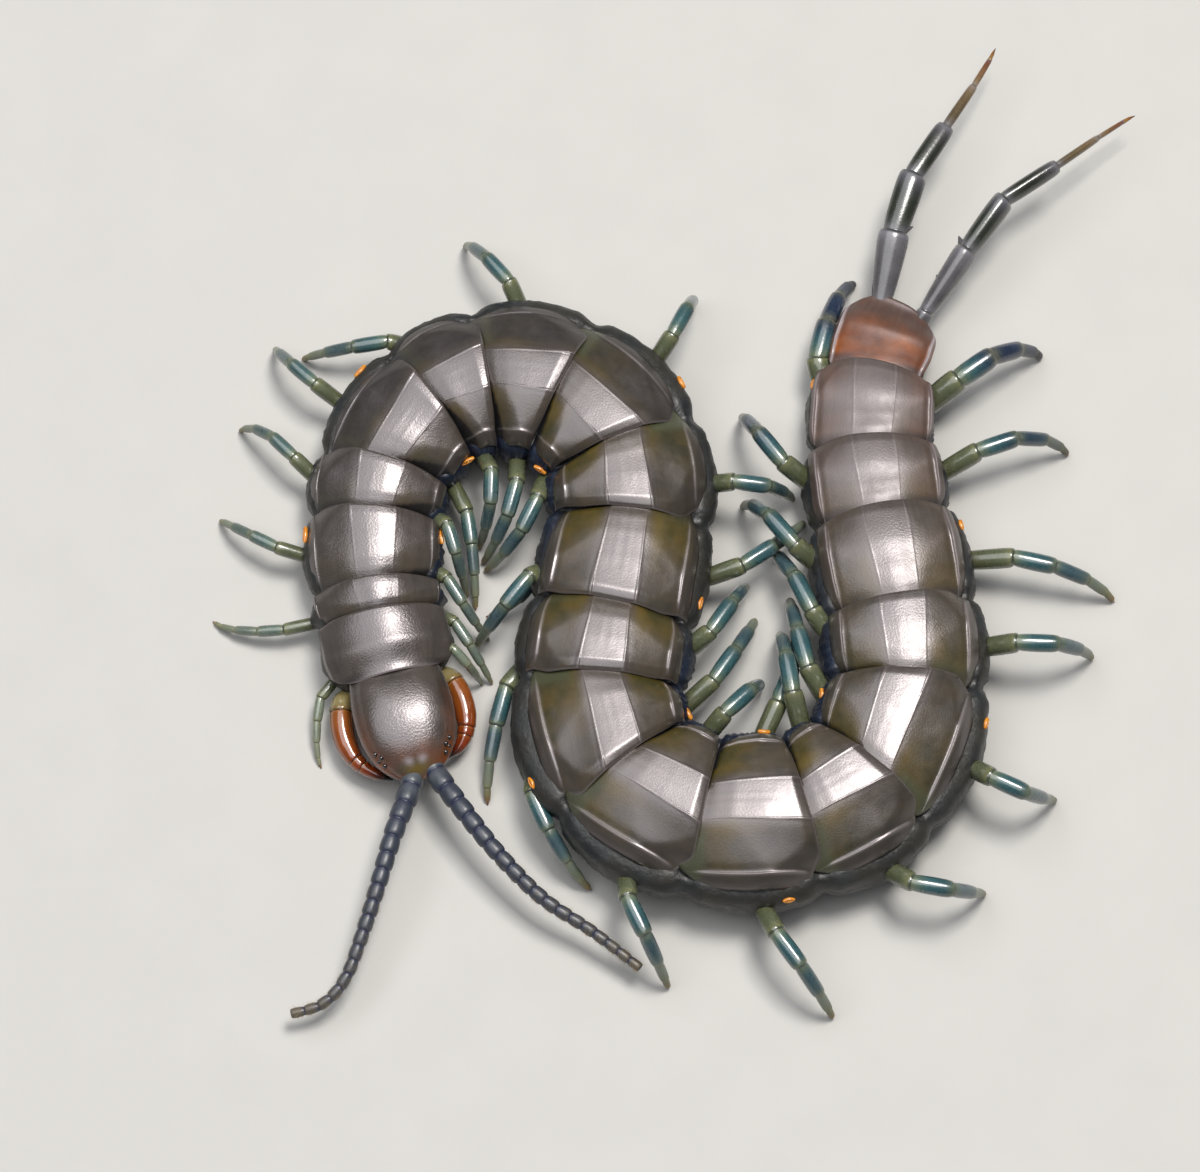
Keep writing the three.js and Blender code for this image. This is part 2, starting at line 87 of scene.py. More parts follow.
def roundedLine(points, rounds):
    # cuts the corners of a line again and again, its ends stay
    line = np.array(points, float)
    for _ in range(rounds):
        cut = [line[:1]]
        for a, b in zip(line[:-1], line[1:]):
            cut += [[a * 0.75 + b * 0.25], [a * 0.25 + b * 0.75]]
        line = np.concatenate(cut + [line[-1:]])
    return line


def measured(line):
    return np.concatenate([[0], np.cumsum(np.linalg.norm(np.diff(line, axis=0), axis=1))])


def alongLine(line, shares):
    steps = measured(line)
    places = np.asarray(shares) * steps[-1]
    return np.stack([np.interp(places, steps, line[:, k]) for k in range(line.shape[1])], axis=-1)


def smoothPath(guides, count=40):
    # a centripetal Catmull-Rom curve through the guide points
    guides = np.array(guides, float)
    ends = [2 * guides[0] - guides[1], *guides, 2 * guides[-1] - guides[-2]]
    path = []
    for i in range(len(guides) - 1):
        a, b, c, d = ends[i:i + 4]
        before, here, after = (np.linalg.norm(q - p) ** 0.5 for p, q in ((a, b), (b, c), (c, d)))
        startSlope = ((b - a) / before - (c - a) / (before + here) + (c - b) / here) * here
        endSlope = ((c - b) / here - (d - b) / (here + after) + (d - c) / after) * here
        w = np.linspace(0, 1, count)[:, None]
        path.append(b + startSlope * w + (3 * (c - b) - 2 * startSlope - endSlope) * w ** 2
                    + (2 * (b - c) + startSlope + endSlope) * w ** 3)
    return np.concatenate([path[0]] + [part[1:] for part in path[1:]])


def noiseAt(points, size, seed):
    # smooth noise from -1 to 1 at each point, size is in mm
    flat = np.asarray(points).reshape(-1, 3) / size + seed * 17.3
    values = [noise.noise(Vector(p)) for p in flat]
    return np.array(values).reshape(np.asarray(points).shape[:-1])


def gridFaces(rows, columns, wrap=False, start=0, flip=False):
    faces = []
    for row in range(rows - 1):
        for column in range(columns if wrap else columns - 1):
            a = start + row * columns + column
            b = start + row * columns + (column + 1) % columns
            face = (a, b, b + columns, a + columns)
            faces.append(face[::-1] if flip else face)
    return faces


def tubeFaces(rows, columns):
    # a tube of rings, closed at both ends
    faces = gridFaces(rows, columns, wrap=True)
    faces.append(tuple(range(columns))[::-1])
    faces.append(tuple(range((rows - 1) * columns, rows * columns)))
    return faces


def sweep(centres, axes, radii, ringSides, flatness=(1, 1)):
    # rings along a path; flatness is for their level and their upright half widths
    across = unit(np.cross(upward, axes))
    over = np.cross(axes, across)
    angles = np.linspace(0, 2 * math.pi, ringSides, endpoint=False)[None, :, None]
    radii = np.asarray(radii)[:, None, None]
    points = (centres[:, None] + across[:, None] * radii * flatness[0] * np.cos(angles)
              + over[:, None] * radii * flatness[1] * np.sin(angles))
    return points, tubeFaces(len(centres), ringSides)


def makePiece(name, points, faces, material, replaces=(), marks=None):
    mesh = bpy.data.meshes.new(name)
    shift = np.array([*pose["footprintMiddle"], 0])
    mesh.from_pydata(((np.asarray(points).reshape(-1, 3) - shift) * mm).tolist(), [], faces)
    for mark, values in (marks or {}).items():
        layer = mesh.attributes.new(mark, "FLOAT", "POINT")
        layer.data.foreach_set("value", np.asarray(values, np.float32).ravel())
    work = bmesh.new()
    work.from_mesh(mesh)
    bmesh.ops.recalc_face_normals(work, faces=work.faces)
    work.to_mesh(mesh)
    work.free()
    mesh.shade_smooth()
    mesh.materials.append(material)
    piece = bpy.data.objects.new(name, mesh)
    bpy.context.scene.collection.objects.link(piece)
    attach(piece, "root")
    if replaces:
        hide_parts(*replaces)
    return piece


def joinParts(parts):
    # parts are (points, faces, marks); gives the same three for all of them together
    points, faces, marks, start = [], [], {}, 0
    for partPoints, partFaces, partMarks in parts:
        partPoints = np.asarray(partPoints).reshape(-1, 3)
        points.append(partPoints)
        faces += [tuple(i + start for i in face) for face in partFaces]
        for mark, values in partMarks.items():
            marks.setdefault(mark, []).append(np.asarray(values, float).ravel())
        start += len(partPoints)
    return np.concatenate(points), faces, {mark: np.concatenate(v) for mark, v in marks.items()}


# the spine and the segments

def splineLine(guides, count):
    guides = np.array(guides, float)
    t = np.linspace(0, len(guides) - 3, count)
    span = np.minimum(t.astype(int), len(guides) - 4)
    w = (t - span)[:, None]
    weights = [(1 - w) ** 3, 3 * w ** 3 - 6 * w ** 2 + 4, -3 * w ** 3 + 3 * w ** 2 + 3 * w + 1, w ** 3]
    return sum(weight * guides[span + k] for k, weight in enumerate(weights)) / 6


spineLine = splineLine(pose["spineGuides"], 1201)
spineSteps = measured(spineLine)
spineDirections = unit(np.gradient(spineLine, axis=0))
plateEdges = np.concatenate([[0], np.cumsum(pose["plateLengths"])])
# above 0 where the left side is the inner side of a bend
bendRate = -np.gradient(np.unwrap(np.arctan2(spineDirections[:, 1], spineDirections[:, 0])), spineSteps)


def spineFrame(distance):
    # centre, direction to the tail and direction to the left, each with z = 0
    distance = np.asarray(distance, float)
    inside = np.clip(distance, 0, spineSteps[-1])
    tailward = unit(np.stack([np.interp(inside, spineSteps, spineDirections[:, k]) for k in (0, 1)], axis=-1))
    centre = np.stack([np.interp(inside, spineSteps, spineLine[:, k]) for k in (0, 1)], axis=-1)
    centre = centre + tailward * (distance - inside)[..., None]
    flat = np.zeros(distance.shape + (1,))
    left = np.stack([tailward[..., 1], -tailward[..., 0]], axis=-1)
    return tuple(np.concatenate([part, flat], axis=-1) for part in (centre, tailward, left))


def halfWidthAt(distance):
    places = [0, *(plateEdges[:-1] + np.diff(plateEdges) / 2), plateEdges[-1]]
    widths = [pose["headEndHalfWidth"], *pose["halfWidths"], pose["tailEndHalfWidth"]]
    distance = np.asarray(distance, float)
    i = np.clip(np.searchsorted(places, distance), 1, len(places) - 1)
    places, widths = np.array(places), np.array(widths)
    share = smooth(places[i - 1], places[i], distance)
    return widths[i - 1] + (widths[i] - widths[i - 1]) * share


# shader groups and materials

def put(tree, kind, settings=None, **inputs):
    # a new node; an input i6 is the socket with the number 6
    node = tree.nodes.new(kind)
    for key, value in (settings or {}).items():
        setattr(node, key, value)
    for key, value in inputs.items():
        socket = node.inputs[int(key[1:])] if key[1:].isdigit() else node.inputs[key.replace("_", " ")]
        if isinstance(value, bpy.types.NodeSocket):
            tree.links.new(value, socket)
        else:
            socket.default_value = value
    return node


def colour(value):
    return (*value, 1)


def mark(tree, name):
    # a value that the mesh carries at each point, 0 where it has none of this name
    return put(tree, "ShaderNodeAttribute", {"attribute_name": name}).outputs["Fac"]


def ramp(tree, value, stops):
    node = put(tree, "ShaderNodeValToRGB", Fac=value)
    while len(node.color_ramp.elements) < len(stops):
        node.color_ramp.elements.new(0.5)
    for element, (position, shade) in zip(node.color_ramp.elements, stops):
        element.position = position
        element.color = colour(shade) if isinstance(shade, tuple) else (shade, shade, shade, 1)
    return node.outputs["Color"]


def blendColour(tree, share, low, high, blend="MIX"):
    settings = {"data_type": "RGBA", "blend_type": blend}
    return put(tree, "ShaderNodeMix", settings, i0=share, i6=low, i7=high).outputs[2]


def paintMarks(tree, base, finish, *names):
    # each mark brings in the shade of its name
    for name in names:
        base = blendColour(tree, mark(tree, name), base, colour(finish[name]))
    return base


def maths(tree, operation, a, b):
    return put(tree, "ShaderNodeMath", {"operation": operation}, i0=a, i1=b).outputs[0]


def noiseValue(tree, size, detail=2.0):
    # size is the grain in mm
    place = put(tree, "ShaderNodeTexCoord").outputs["Object"]
    return put(tree, "ShaderNodeTexNoise", Vector=place, Scale=1 / (size * mm), Detail=detail).outputs["Fac"]


def newGroup(name, inputs, outputs):
    group = bpy.data.node_groups.new(name, "ShaderNodeTree")
    for label, kind, value in inputs:
        socket = group.interface.new_socket(name=label, in_out="INPUT", socket_type=kind)
        socket.default_value = value
    for label, kind in outputs:
        group.interface.new_socket(name=label, in_out="OUTPUT", socket_type=kind)
    return group, group.nodes.new("NodeGroupInput"), group.nodes.new("NodeGroupOutput")


def buildPittedGrain():
    # fine pits and soft creases of a shell, as a height, and the polish they leave; sizes in mm
    group, given, result = newGroup("pittedGrain", [
        ("Pit Size", "NodeSocketFloat", 0.09), ("Crease Size", "NodeSocketFloat", 0.8),
        ("Creases", "NodeSocketFloat", 0.4), ("Polish", "NodeSocketFloat", 0.28),
        ("Polish Change", "NodeSocketFloat", 0.1),
    ], [("Height", "NodeSocketFloat"), ("Roughness", "NodeSocketFloat")])
    place = put(group, "ShaderNodeTexCoord").outputs["Object"]
    pitScale = maths(group, "DIVIDE", 1 / mm, given.outputs["Pit Size"])
    creaseScale = maths(group, "DIVIDE", 1 / mm, given.outputs["Crease Size"])
    pits = put(group, "ShaderNodeTexNoise", Vector=place, Scale=pitScale, Detail=1.5).outputs["Fac"]
    creases = put(group, "ShaderNodeTexNoise", Vector=place, Scale=creaseScale, Detail=4.0,
                  Distortion=0.6).outputs["Fac"]
    height = maths(group, "ADD", pits, maths(group, "MULTIPLY", creases, given.outputs["Creases"]))
    change = maths(group, "MULTIPLY", maths(group, "SUBTRACT", creases, 0.5), given.outputs["Polish Change"])
    group.links.new(height, result.inputs["Height"])
    group.links.new(maths(group, "ADD", given.outputs["Polish"], change), result.inputs["Roughness"])
    return group


def buildMottle():
    # two shades in soft patches, their size in mm
    grey = (0.5, 0.5, 0.5, 1)
    group, given, result = newGroup("mottle", [
        ("Shade", "NodeSocketColor", grey), ("Other Shade", "NodeSocketColor", grey),
        ("Patch Size", "NodeSocketFloat", 1.0), ("Contrast", "NodeSocketFloat", 2.0),
    ], [("Color", "NodeSocketColor")])
    place = put(group, "ShaderNodeTexCoord").outputs["Object"]
    scale = maths(group, "DIVIDE", 1 / mm, given.outputs["Patch Size"])
    patches = put(group, "ShaderNodeTexNoise", Vector=place, Scale=scale, Detail=3.0).outputs["Fac"]
    spread = maths(group, "MULTIPLY", maths(group, "SUBTRACT", patches, 0.5), given.outputs["Contrast"])
    settings = {"operation": "ADD", "use_clamp": True}
    share = put(group, "ShaderNodeMath", settings, i0=spread, i1=0.5).outputs[0]
    mixed = blendColour(group, share, given.outputs["Shade"], given.outputs["Other Shade"])
    group.links.new(mixed, result.inputs["Color"])
    return group


groups = {"pittedGrain": buildPittedGrain(), "mottle": buildMottle()}


def useGroup(tree, name, **inputs):
    return put(tree, "ShaderNodeGroup", {"node_tree": groups[name]}, **inputs).outputs


def grained(tree, pitSize, creaseSize, creases, polish, polishChange):
    return useGroup(tree, "pittedGrain", Pit_Size=pitSize, Crease_Size=creaseSize, Creases=creases,
                    Polish=polish, Polish_Change=polishChange)


def mottled(tree, shade, otherShade, patchSize, contrast):
    return useGroup(tree, "mottle", Shade=colour(shade), Other_Shade=colour(otherShade),
                    Patch_Size=patchSize, Contrast=contrast)["Color"]


def darkPatches(tree, base, finish):
    shade = ramp(tree, noiseValue(tree, finish["patch"]), [(0.3, finish["shade"]), (0.7, 1.0)])
    return blendColour(tree, 1.0, base, shade, "MULTIPLY")


def newMaterial(name, shaderValues):
    material = bpy.data.materials.new(name)
    material.use_nodes = True
    tree = material.node_tree
    shader = tree.nodes["Principled BSDF"]
    for key, value in shaderValues.items():
        shader.inputs[key].default_value = value
    return material, tree, shader


def finishSurface(tree, shader, baseColour, height, roughness, depth):
    tree.links.new(baseColour, shader.inputs["Base Color"])
    tree.links.new(roughness, shader.inputs["Roughness"])
    relief = put(tree, "ShaderNodeBump", Strength=1.0, Height=height, Distance=depth * mm)
    tree.links.new(relief.outputs["Normal"], shader.inputs["Normal"])


print("shader groups ready")

# In the finishes, a mottled surface has two shades, the size of its patches in mm and their contrast.
# A grain has the sizes of its pits and creases in mm, the weight of the creases, a roughness and its change.
# The depth of the grain is in mm, and shade is how dark the soft patches get.

shellFinish = {
    "shader": {
        "Specular IOR Level": 1.0, "IOR": 1.56, "Specular Tint": (1.0, 0.93, 0.97, 1), "Coat Roughness": 0.2,
    },
    "steel": ((0.022, 0.017, 0.016), (0.04, 0.032, 0.03), 1.4, 2.5),
    "olive": ((0.03, 0.027, 0.003), (0.065, 0.045, 0.006), 1.1, 4.0),
    "rust": ((0.26, 0.068, 0.005), (0.1, 0.024, 0.003), 0.9, 2.0),
    "streak": (0.06, 0.05, 0.045), "amber": (0.12, 0.078, 0.008), "fresh": (0.05, 0.058, 0.028),
    # near black for painted shade, and a pale tint that also paints highlights on keels, rims and rear lips
    "paintedShade": (0.006, 0.0055, 0.005), "paleTintAndPaintedHighlight": (0.3, 0.26, 0.27),
    "grain": (0.1, 0.7, 0.14, 0.33, 0.25), "depth": 0.013,
    # the coat fades where the painted shade rises
    "coat": [(0.0, 0.16), (0.6, 0.0)],
}


def shellMaterial():
    material, tree, shader = newMaterial("glossyShell", shellFinish["shader"])
    base = paintMarks(tree, mottled(tree, *shellFinish["steel"]), shellFinish, "streak")
    base = blendColour(tree, mark(tree, "olive"), base, mottled(tree, *shellFinish["olive"]))
    base = paintMarks(tree, base, shellFinish, "amber", "fresh")
    base = blendColour(tree, mark(tree, "rust"), base, mottled(tree, *shellFinish["rust"]))
    # painted shade in near black, then the pale tint with its painted highlights
    base = paintMarks(tree, base, shellFinish, "paintedShade", "paleTintAndPaintedHighlight")
    tree.links.new(ramp(tree, mark(tree, "paintedShade"), shellFinish["coat"]), shader.inputs["Coat Weight"])
    grain = grained(tree, *shellFinish["grain"])
    height = maths(tree, "MULTIPLY", grain["Height"], mark(tree, "grain"))
    roughness = maths(tree, "ADD", grain["Roughness"], mark(tree, "satin"))
    finishSurface(tree, shader, base, height, roughness, shellFinish["depth"])
    return material


skinFinish = {
    "shader": {"Specular IOR Level": 0.45, "Coat Weight": 0.1, "Coat Roughness": 0.3},
    "navy": ((0.004, 0.007, 0.02), (0.012, 0.02, 0.04), 0.7, 3.0),
    "grey": ((0.007, 0.011, 0.016), (0.021, 0.026, 0.03), 1.0, 3.0),
    "blotch": (0.026, 0.022, 0.015), "root": (0.05, 0.055, 0.02), "low": (0.09, 0.085, 0.06),
    "shadow": (0.004, 0.004, 0.005),
    "grain": (0.22, 0.5, 1.2, 0.47, 0.3), "depth": 0.03,
}


def skinMaterial():
    material, tree, shader = newMaterial("softSkin", skinFinish["shader"])
    grey = paintMarks(tree, mottled(tree, *skinFinish["grey"]), skinFinish, "blotch")
    base = blendColour(tree, mark(tree, "stretched"), mottled(tree, *skinFinish["navy"]), grey)
    base = paintMarks(tree, base, skinFinish, "root", "low", "shadow")
    grain = grained(tree, *skinFinish["grain"])
    finishSurface(tree, shader, base, grain["Height"], grain["Roughness"], skinFinish["depth"])
    return material


legFinish = {
    "shader": {
        "Specular IOR Level": 0.6, "Coat Roughness": 0.12,
        "Subsurface Weight": 0.35, "Subsurface Scale": 0.0004, "Subsurface Radius": (1.0, 1.0, 0.6),
    },
    # colour along the leg, a fifth for each of its articles
    "stops": [
        (0.0, (0.055, 0.056, 0.026)), (0.12, (0.082, 0.09, 0.045)), (0.19, (0.08, 0.1, 0.06)),
        (0.21, (0.07, 0.12, 0.1)), (0.28, (0.03, 0.09, 0.1)), (0.39, (0.02, 0.065, 0.08)),
        (0.41, (0.045, 0.09, 0.1)), (0.48, (0.035, 0.07, 0.085)), (0.59, (0.06, 0.095, 0.1)),
        (0.62, (0.12, 0.15, 0.12)), (0.8, (0.15, 0.16, 0.1)), (0.92, (0.2, 0.16, 0.07)),
        (1.0, (0.2, 0.09, 0.02)),
    ],
    "young": (0.2, 0.22, 0.15), "indigo": (0.008, 0.014, 0.05), "joint": (0.26, 0.24, 0.09),
    "seam": (0.01, 0.012, 0.01), "patch": 0.7, "shade": 0.84,
    # coat weight and roughness along the leg
    "coat": [(0.55, 0.9), (0.8, 0.15)], "polish": [(0.5, 0.28), (0.8, 0.6)],
    "pits": 0.12, "creaseSize": 0.4, "creases": 0.5, "polishChange": 0.15, "depth": 0.008,
}


def legMaterial():
    material, tree, shader = newMaterial("legShell", legFinish["shader"])
    along = mark(tree, "along")
    base = ramp(tree, along, legFinish["stops"])
    base = paintMarks(tree, base, legFinish, "young", "indigo", "joint", "seam")
    base = darkPatches(tree, base, legFinish)
    tree.links.new(ramp(tree, along, legFinish["coat"]), shader.inputs["Coat Weight"])
    polish = ramp(tree, along, legFinish["polish"])
    grain = grained(tree, legFinish["pits"], legFinish["creaseSize"], legFinish["creases"], polish,
                    legFinish["polishChange"])
    finishSurface(tree, shader, base, grain["Height"], grain["Roughness"], legFinish["depth"])
    return material


def bandedMaterial(name, finish):
    # a shell whose colour runs along the limb, with dark joints
    material, tree, shader = newMaterial(name, finish["shader"])
    base = darkPatches(tree, ramp(tree, mark(tree, "along"), finish["stops"]), finish)
    base = paintMarks(tree, base, finish, "joint", "seam")
    grain = grained(tree, *finish["grain"])
    finishSurface(tree, shader, base, grain["Height"], grain["Roughness"], finish["depth"])
    return material


antennaFinish = {
    "shader": {"Specular IOR Level": 0.5, "Coat Weight": 0.25, "Coat Roughness": 0.3},
    "stops": [(0.0, (0.09, 0.1, 0.11)), (0.06, (0.07, 0.08, 0.095)), (0.1, (0.035, 0.042, 0.06)),
              (0.5, (0.035, 0.04, 0.055)), (0.8, (0.06, 0.06, 0.065)), (1.0, (0.11, 0.09, 0.06))],
    "patch": 0.6, "shade": 0.75, "joint": (0.02, 0.025, 0.06), "seam": (0.01, 0.012, 0.03),
    "grain": (0.09, 0.5, 0.6, 0.42, 0.2), "depth": 0.008,
}
fangFinish = {
    "shader": {"Specular IOR Level": 0.6, "Coat Weight": 1.0, "Coat Roughness": 0.08,
               "Subsurface Weight": 0.3, "Subsurface Scale": 0.0005, "Subsurface Radius": (1.0, 0.4, 0.15)},
    "stops": [(0.0, (0.2, 0.16, 0.06)), (0.25, (0.26, 0.21, 0.09)), (0.285, (0.22, 0.13, 0.04)),
              (0.31, (0.24, 0.075, 0.013)), (0.6, (0.26, 0.055, 0.007)), (0.82, (0.22, 0.032, 0.005)),
              (0.9, (0.07, 0.012, 0.005)), (0.94, (0.012, 0.008, 0.007)), (1.0, (0.01, 0.008, 0.008))],
    "patch": 0.8, "shade": 0.7, "joint": (0.32, 0.11, 0.02), "seam": (0.03, 0.008, 0.003),
    "grain": (0.15, 0.5, 0.6, 0.2, 0.2), "depth": 0.006,
}
rearLegFinish = {
    "shader": {"Specular IOR Level": 0.6, "Coat Weight": 0.6, "Coat Roughness": 0.15},
    "stops": [(0.0, (0.09, 0.085, 0.09)), (0.18, (0.08, 0.075, 0.08)), (0.32, (0.11, 0.105, 0.115)),
              (0.345, (0.025, 0.03, 0.02)), (0.42, (0.018, 0.022, 0.014)), (0.48, (0.05, 0.05, 0.055)),
              (0.51, (0.018, 0.022, 0.012)), (0.6, (0.022, 0.024, 0.018)), (0.655, (0.06, 0.058, 0.062)),
              (0.69, (0.09, 0.065, 0.035)), (0.85, (0.18, 0.12, 0.055)), (1.0, (0.14, 0.03, 0.01))],
    "patch": 0.9, "shade": 0.7, "joint": (0.28, 0.27, 0.31), "seam": (0.01, 0.01, 0.008),
    "grain": (0.12, 0.5, 0.6, 0.28, 0.2), "depth": 0.008,
}
clawFinish = {
    "shader": {"Specular IOR Level": 0.6, "Coat Weight": 0.8, "Coat Roughness": 0.1},
    "stops": [(0.0, (0.26, 0.17, 0.05)), (0.5, (0.22, 0.08, 0.015)), (1.0, (0.06, 0.02, 0.008))],
    "patch": 0.3, "shade": 0.8, "joint": (0.2, 0.1, 0.03), "seam": (0.03, 0.01, 0.005),
    "grain": (0.1, 0.5, 0.6, 0.22, 0.2), "depth": 0.004,
}
eyeFinish = {
    "shader": {"Coat Weight": 1.0, "Coat Roughness": 0.03},
    "shades": ((0.008, 0.007, 0.008), (0.02, 0.014, 0.012), 0.2, 3.0),
    "grain": (0.08, 0.2, 0.6, 0.08, 0.15), "depth": 0.001,
}
breathingHoleFinish = {
    "shader": {"Coat Weight": 0.5},
    "shades": ((0.62, 0.25, 0.02), (0.48, 0.15, 0.012), 0.3, 3.0),
    "grain": (0.06, 0.3, 0.6, 0.3, 0.15), "depth": 0.008,
}
bellyFinish = {
    "shader": {"Coat Weight": 0.5, "Coat Roughness": 0.15},
    "shades": ((0.13, 0.12, 0.085), (0.08, 0.085, 0.07), 1.0, 3.0),
    "grain": (0.12, 1.0, 0.6, 0.28, 0.15), "depth": 0.01,
}
hairFinish = {
    "shader": {"Specular IOR Level": 0.4},
    "shades": ((0.5, 0.38, 0.2), (0.35, 0.26, 0.13), 0.5, 3.0),
    "grain": (0.05, 0.5, 0.6, 0.4, 0.15), "depth": 0.001,
}


def mottledMaterial(name, finish):
    material, tree, shader = newMaterial(name, finish["shader"])
    grain = grained(tree, *finish["grain"])
    base = mottled(tree, *finish["shades"])
    finishSurface(tree, shader, base, grain["Height"], grain["Roughness"], finish["depth"])
    return material


materials = {
    "shell": shellMaterial(),
    "skin": skinMaterial(),
    "leg": legMaterial(),
    "antenna": bandedMaterial("antennaShell", antennaFinish),
    "fang": bandedMaterial("fangShell", fangFinish),
    "rearLeg": bandedMaterial("rearLegShell", rearLegFinish),
    "claw": bandedMaterial("clawHorn", clawFinish),
    "eye": mottledMaterial("eyeGloss", eyeFinish),
    "breathingHole": mottledMaterial("breathingHole", breathingHoleFinish),
    "belly": mottledMaterial("bellyShell", bellyFinish),
    "hair": mottledMaterial("paleHair", hairFinish),
}
print("materials ready:", len(materials))


# soft skin of the trunk

skin = {
    # half ring from the mid-back down the flank to the mid-belly: share of half width, share of height
    "section": [
        (0, 0.9), (0.3, 0.9), (0.55, 0.83), (0.72, 0.745), (0.82, 0.69), (0.93, 0.61),
        (1, 0.48), (0.97, 0.27), (0.78, 0.09), (0.5, 0.012), (0, 0),
    ],
    "ringStep": 0.17, "columns": 62, "start": 0.05,
    # depth and half length in mm of the groove at each seam
    "groove": (0.34, 0.34),
    # height in mm, then middle and spread along the segment and up the flank
    "swellings": [(0.28, (0.5, 0.26), (0.3, 0.16)), (0.1, (0.55, 0.32), (0.58, 0.1))],
    "fold": 0.16, "upperFold": (0.7, 0.035), "lowerFold": (0.43, 0.03),
    # height, spacing and waviness of the wrinkles, height and size of the tubercles
    "wrinkle": 0.07, "wrinkleSpacing": 0.62, "wave": (0.55, 4), "tubercle": 0.03, "tubercleSize": 0.3,
    # how much the flank's relief crowds up or spreads out in a bend
    "crowding": (0.25, 1.3),
    "seamDepth": 0.6, "seamSpread": 0.85, "tailDrop": 1.7, "tailNarrow": 0.12, "clearance": 0.15,
    # rings behind the last seam: place in mm and size
    "tail": [(0.1, 0.9), (0.2, 0.78), (0.28, 0.62), (0.34, 0.4), (0.36, 0.02)],
    "blotchSize": 1.5, "seamShadow": 0.7,
}


def ruledFrame(segment, along):
    # straight from seam to seam, as a stiff plate lies
    front = spineFrame(plateEdges[segment])
    rear = spineFrame(plateEdges[segment + 1])
    return [a + (b - a) * along[..., None] for a, b in zip(front, rear)]


def closedRing(halfRing):
    # the left half of a ring and its mirror image
    return np.concatenate([halfRing, (halfRing * (-1, 1))[-2:0:-1]])


def buildSkin():
    ring = closedRing(alongLine(roundedLine(skin["section"], 4), np.linspace(0, 1, skin["columns"])))
    normals = np.roll(ring, -1, axis=0) - np.roll(ring, 1, axis=0)
    normals = unit(np.stack([-normals[:, 1], normals[:, 0]], axis=-1))  # outward
    count = int(plateEdges[-1] / skin["ringStep"])
    behind, shrunk = zip(*skin["tail"])
    distances = np.concatenate([np.linspace(skin["start"], plateEdges[-1], count), plateEdges[-1] + behind])
    swell = np.concatenate([np.ones(count), shrunk])[:, None]
    d = distances[:, None]
    halfWidth = halfWidthAt(np.minimum(d, plateEdges[-1]))
    height = halfWidth * pose["heightPerHalfWidth"]
    segment = np.clip(np.searchsorted(plateEdges, d, side="right") - 1, 0, segmentCount - 1)
    length = np.array(pose["plateLengths"])[segment]
    along = np.clip((d - plateEdges[segment]) / length, 0, 1)
    across, up = ring[None, :, 0], ring[None, :, 1]
    flank = smooth(0.62, 0.95, np.abs(across))
    edge = np.minimum(along, 1 - along) * length  # mm from the nearer end of the segment
    # above 0 on the inner side of a bend
    bend = np.interp(d, spineSteps, bendRate) * np.where(across >= 0, 1.0, -1.0)
    inner = smooth(-0.01, 0.06, bend)
    # the top follows the stiff plates, the flanks follow the bend
    stiff = smooth(0.56, 0.7, up)[..., None]
    curved = [part[:, None, :] for part in spineFrame(distances)]
    centre, _, left = (a + (b - a) * stiff for a, b in zip(curved, ruledFrame(segment, along)))
    place = centre + left * (across * halfWidth)[..., None]
    place = place + upward * (pose["bellyHeight"] + up * height)[..., None]
    # relief of the flanks, along the outward normals
    grooveDepth, grooveSpread = skin["groove"]
    push = -grooveDepth * np.exp(-(edge / grooveSpread) ** 2) * (0.35 + 0.65 * flank)
    for rise, alongSpan, upSpan in skin["swellings"]:
        push = push + rise * bump(along, *alongSpan) * bump(up, *upSpan) * flank
    folds = bump(up, *skin["upperFold"]) + 0.7 * bump(up, *skin["lowerFold"]) * (1 - bump(along, 0.5, 0.3))
    push = push - skin["fold"] * folds * flank
    waveSize, waveAmount = skin["wave"]
    turn = d * 2 * math.pi / skin["wrinkleSpacing"]
    wrinkles = skin["wrinkle"] * np.sin(turn + noiseAt(place, waveSize, 3) * waveAmount) * (0.3 + 0.7 * inner)
    tubercles = skin["tubercle"] * noiseAt(place, skin["tubercleSize"], 5) * (0.5 + 0.5 * inner)
    crowd = np.clip(1 - bend * np.abs(across) * halfWidth, *skin["crowding"])
    inLast = smooth(plateEdges[-2], plateEdges[-1] + 0.5, d)
    atLast = smooth(plateEdges[-2] - 0.6, plateEdges[-2] + 0.9, d)
    push = (push + flank * crowd * (wrinkles + tubercles) * (1 - atLast)) * swell
    tall = pose["bellyHeight"] + height * (0.5 + (up - 0.5) * swell) + normals[None, :, 1] * push
    tall = tall - smooth(0.64, 0.78, up) * skin["seamDepth"] * np.exp(-(edge / skin["seamSpread"]) ** 2)
    tall = tall - skin["tailDrop"] * inLast * smooth(0.3, 0.9, up)
    tall = np.maximum(tall, skin["clearance"])
    wide = across * halfWidth * swell * (1 - skin["tailNarrow"] * atLast) + normals[None, :, 0] * push
    points = centre + left * wide[..., None] + upward * tall[..., None]
    ones = np.ones(tall.shape)
    marks = {
        "stretched": (1 - inner) * ones,
        "root": 0.6 * bump(along, 0.5, 0.2) * bump(up, 0.22, 0.09) * ones,
        "low": 0.8 * smooth(0.16, 0.04, up) * ones,
        "blotch": 0.5 + 0.5 * noiseAt(place, skin["blotchSize"], 21),
        "shadow": (smooth(0.6, 0.7, up) * np.exp(-(edge / skin["seamShadow"]) ** 2)
                   + 0.8 * inLast * smooth(0.3, 0.6, up)),
    }
    nodes = [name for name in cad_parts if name.startswith("trunk_")]
    makePiece("softSkin", points, tubeFaces(*tall.shape), materials["skin"], nodes, marks)
    return points, distances, ring


skinPoints, skinDistances, skinRing = buildSkin()
print("skin done")


# back plates

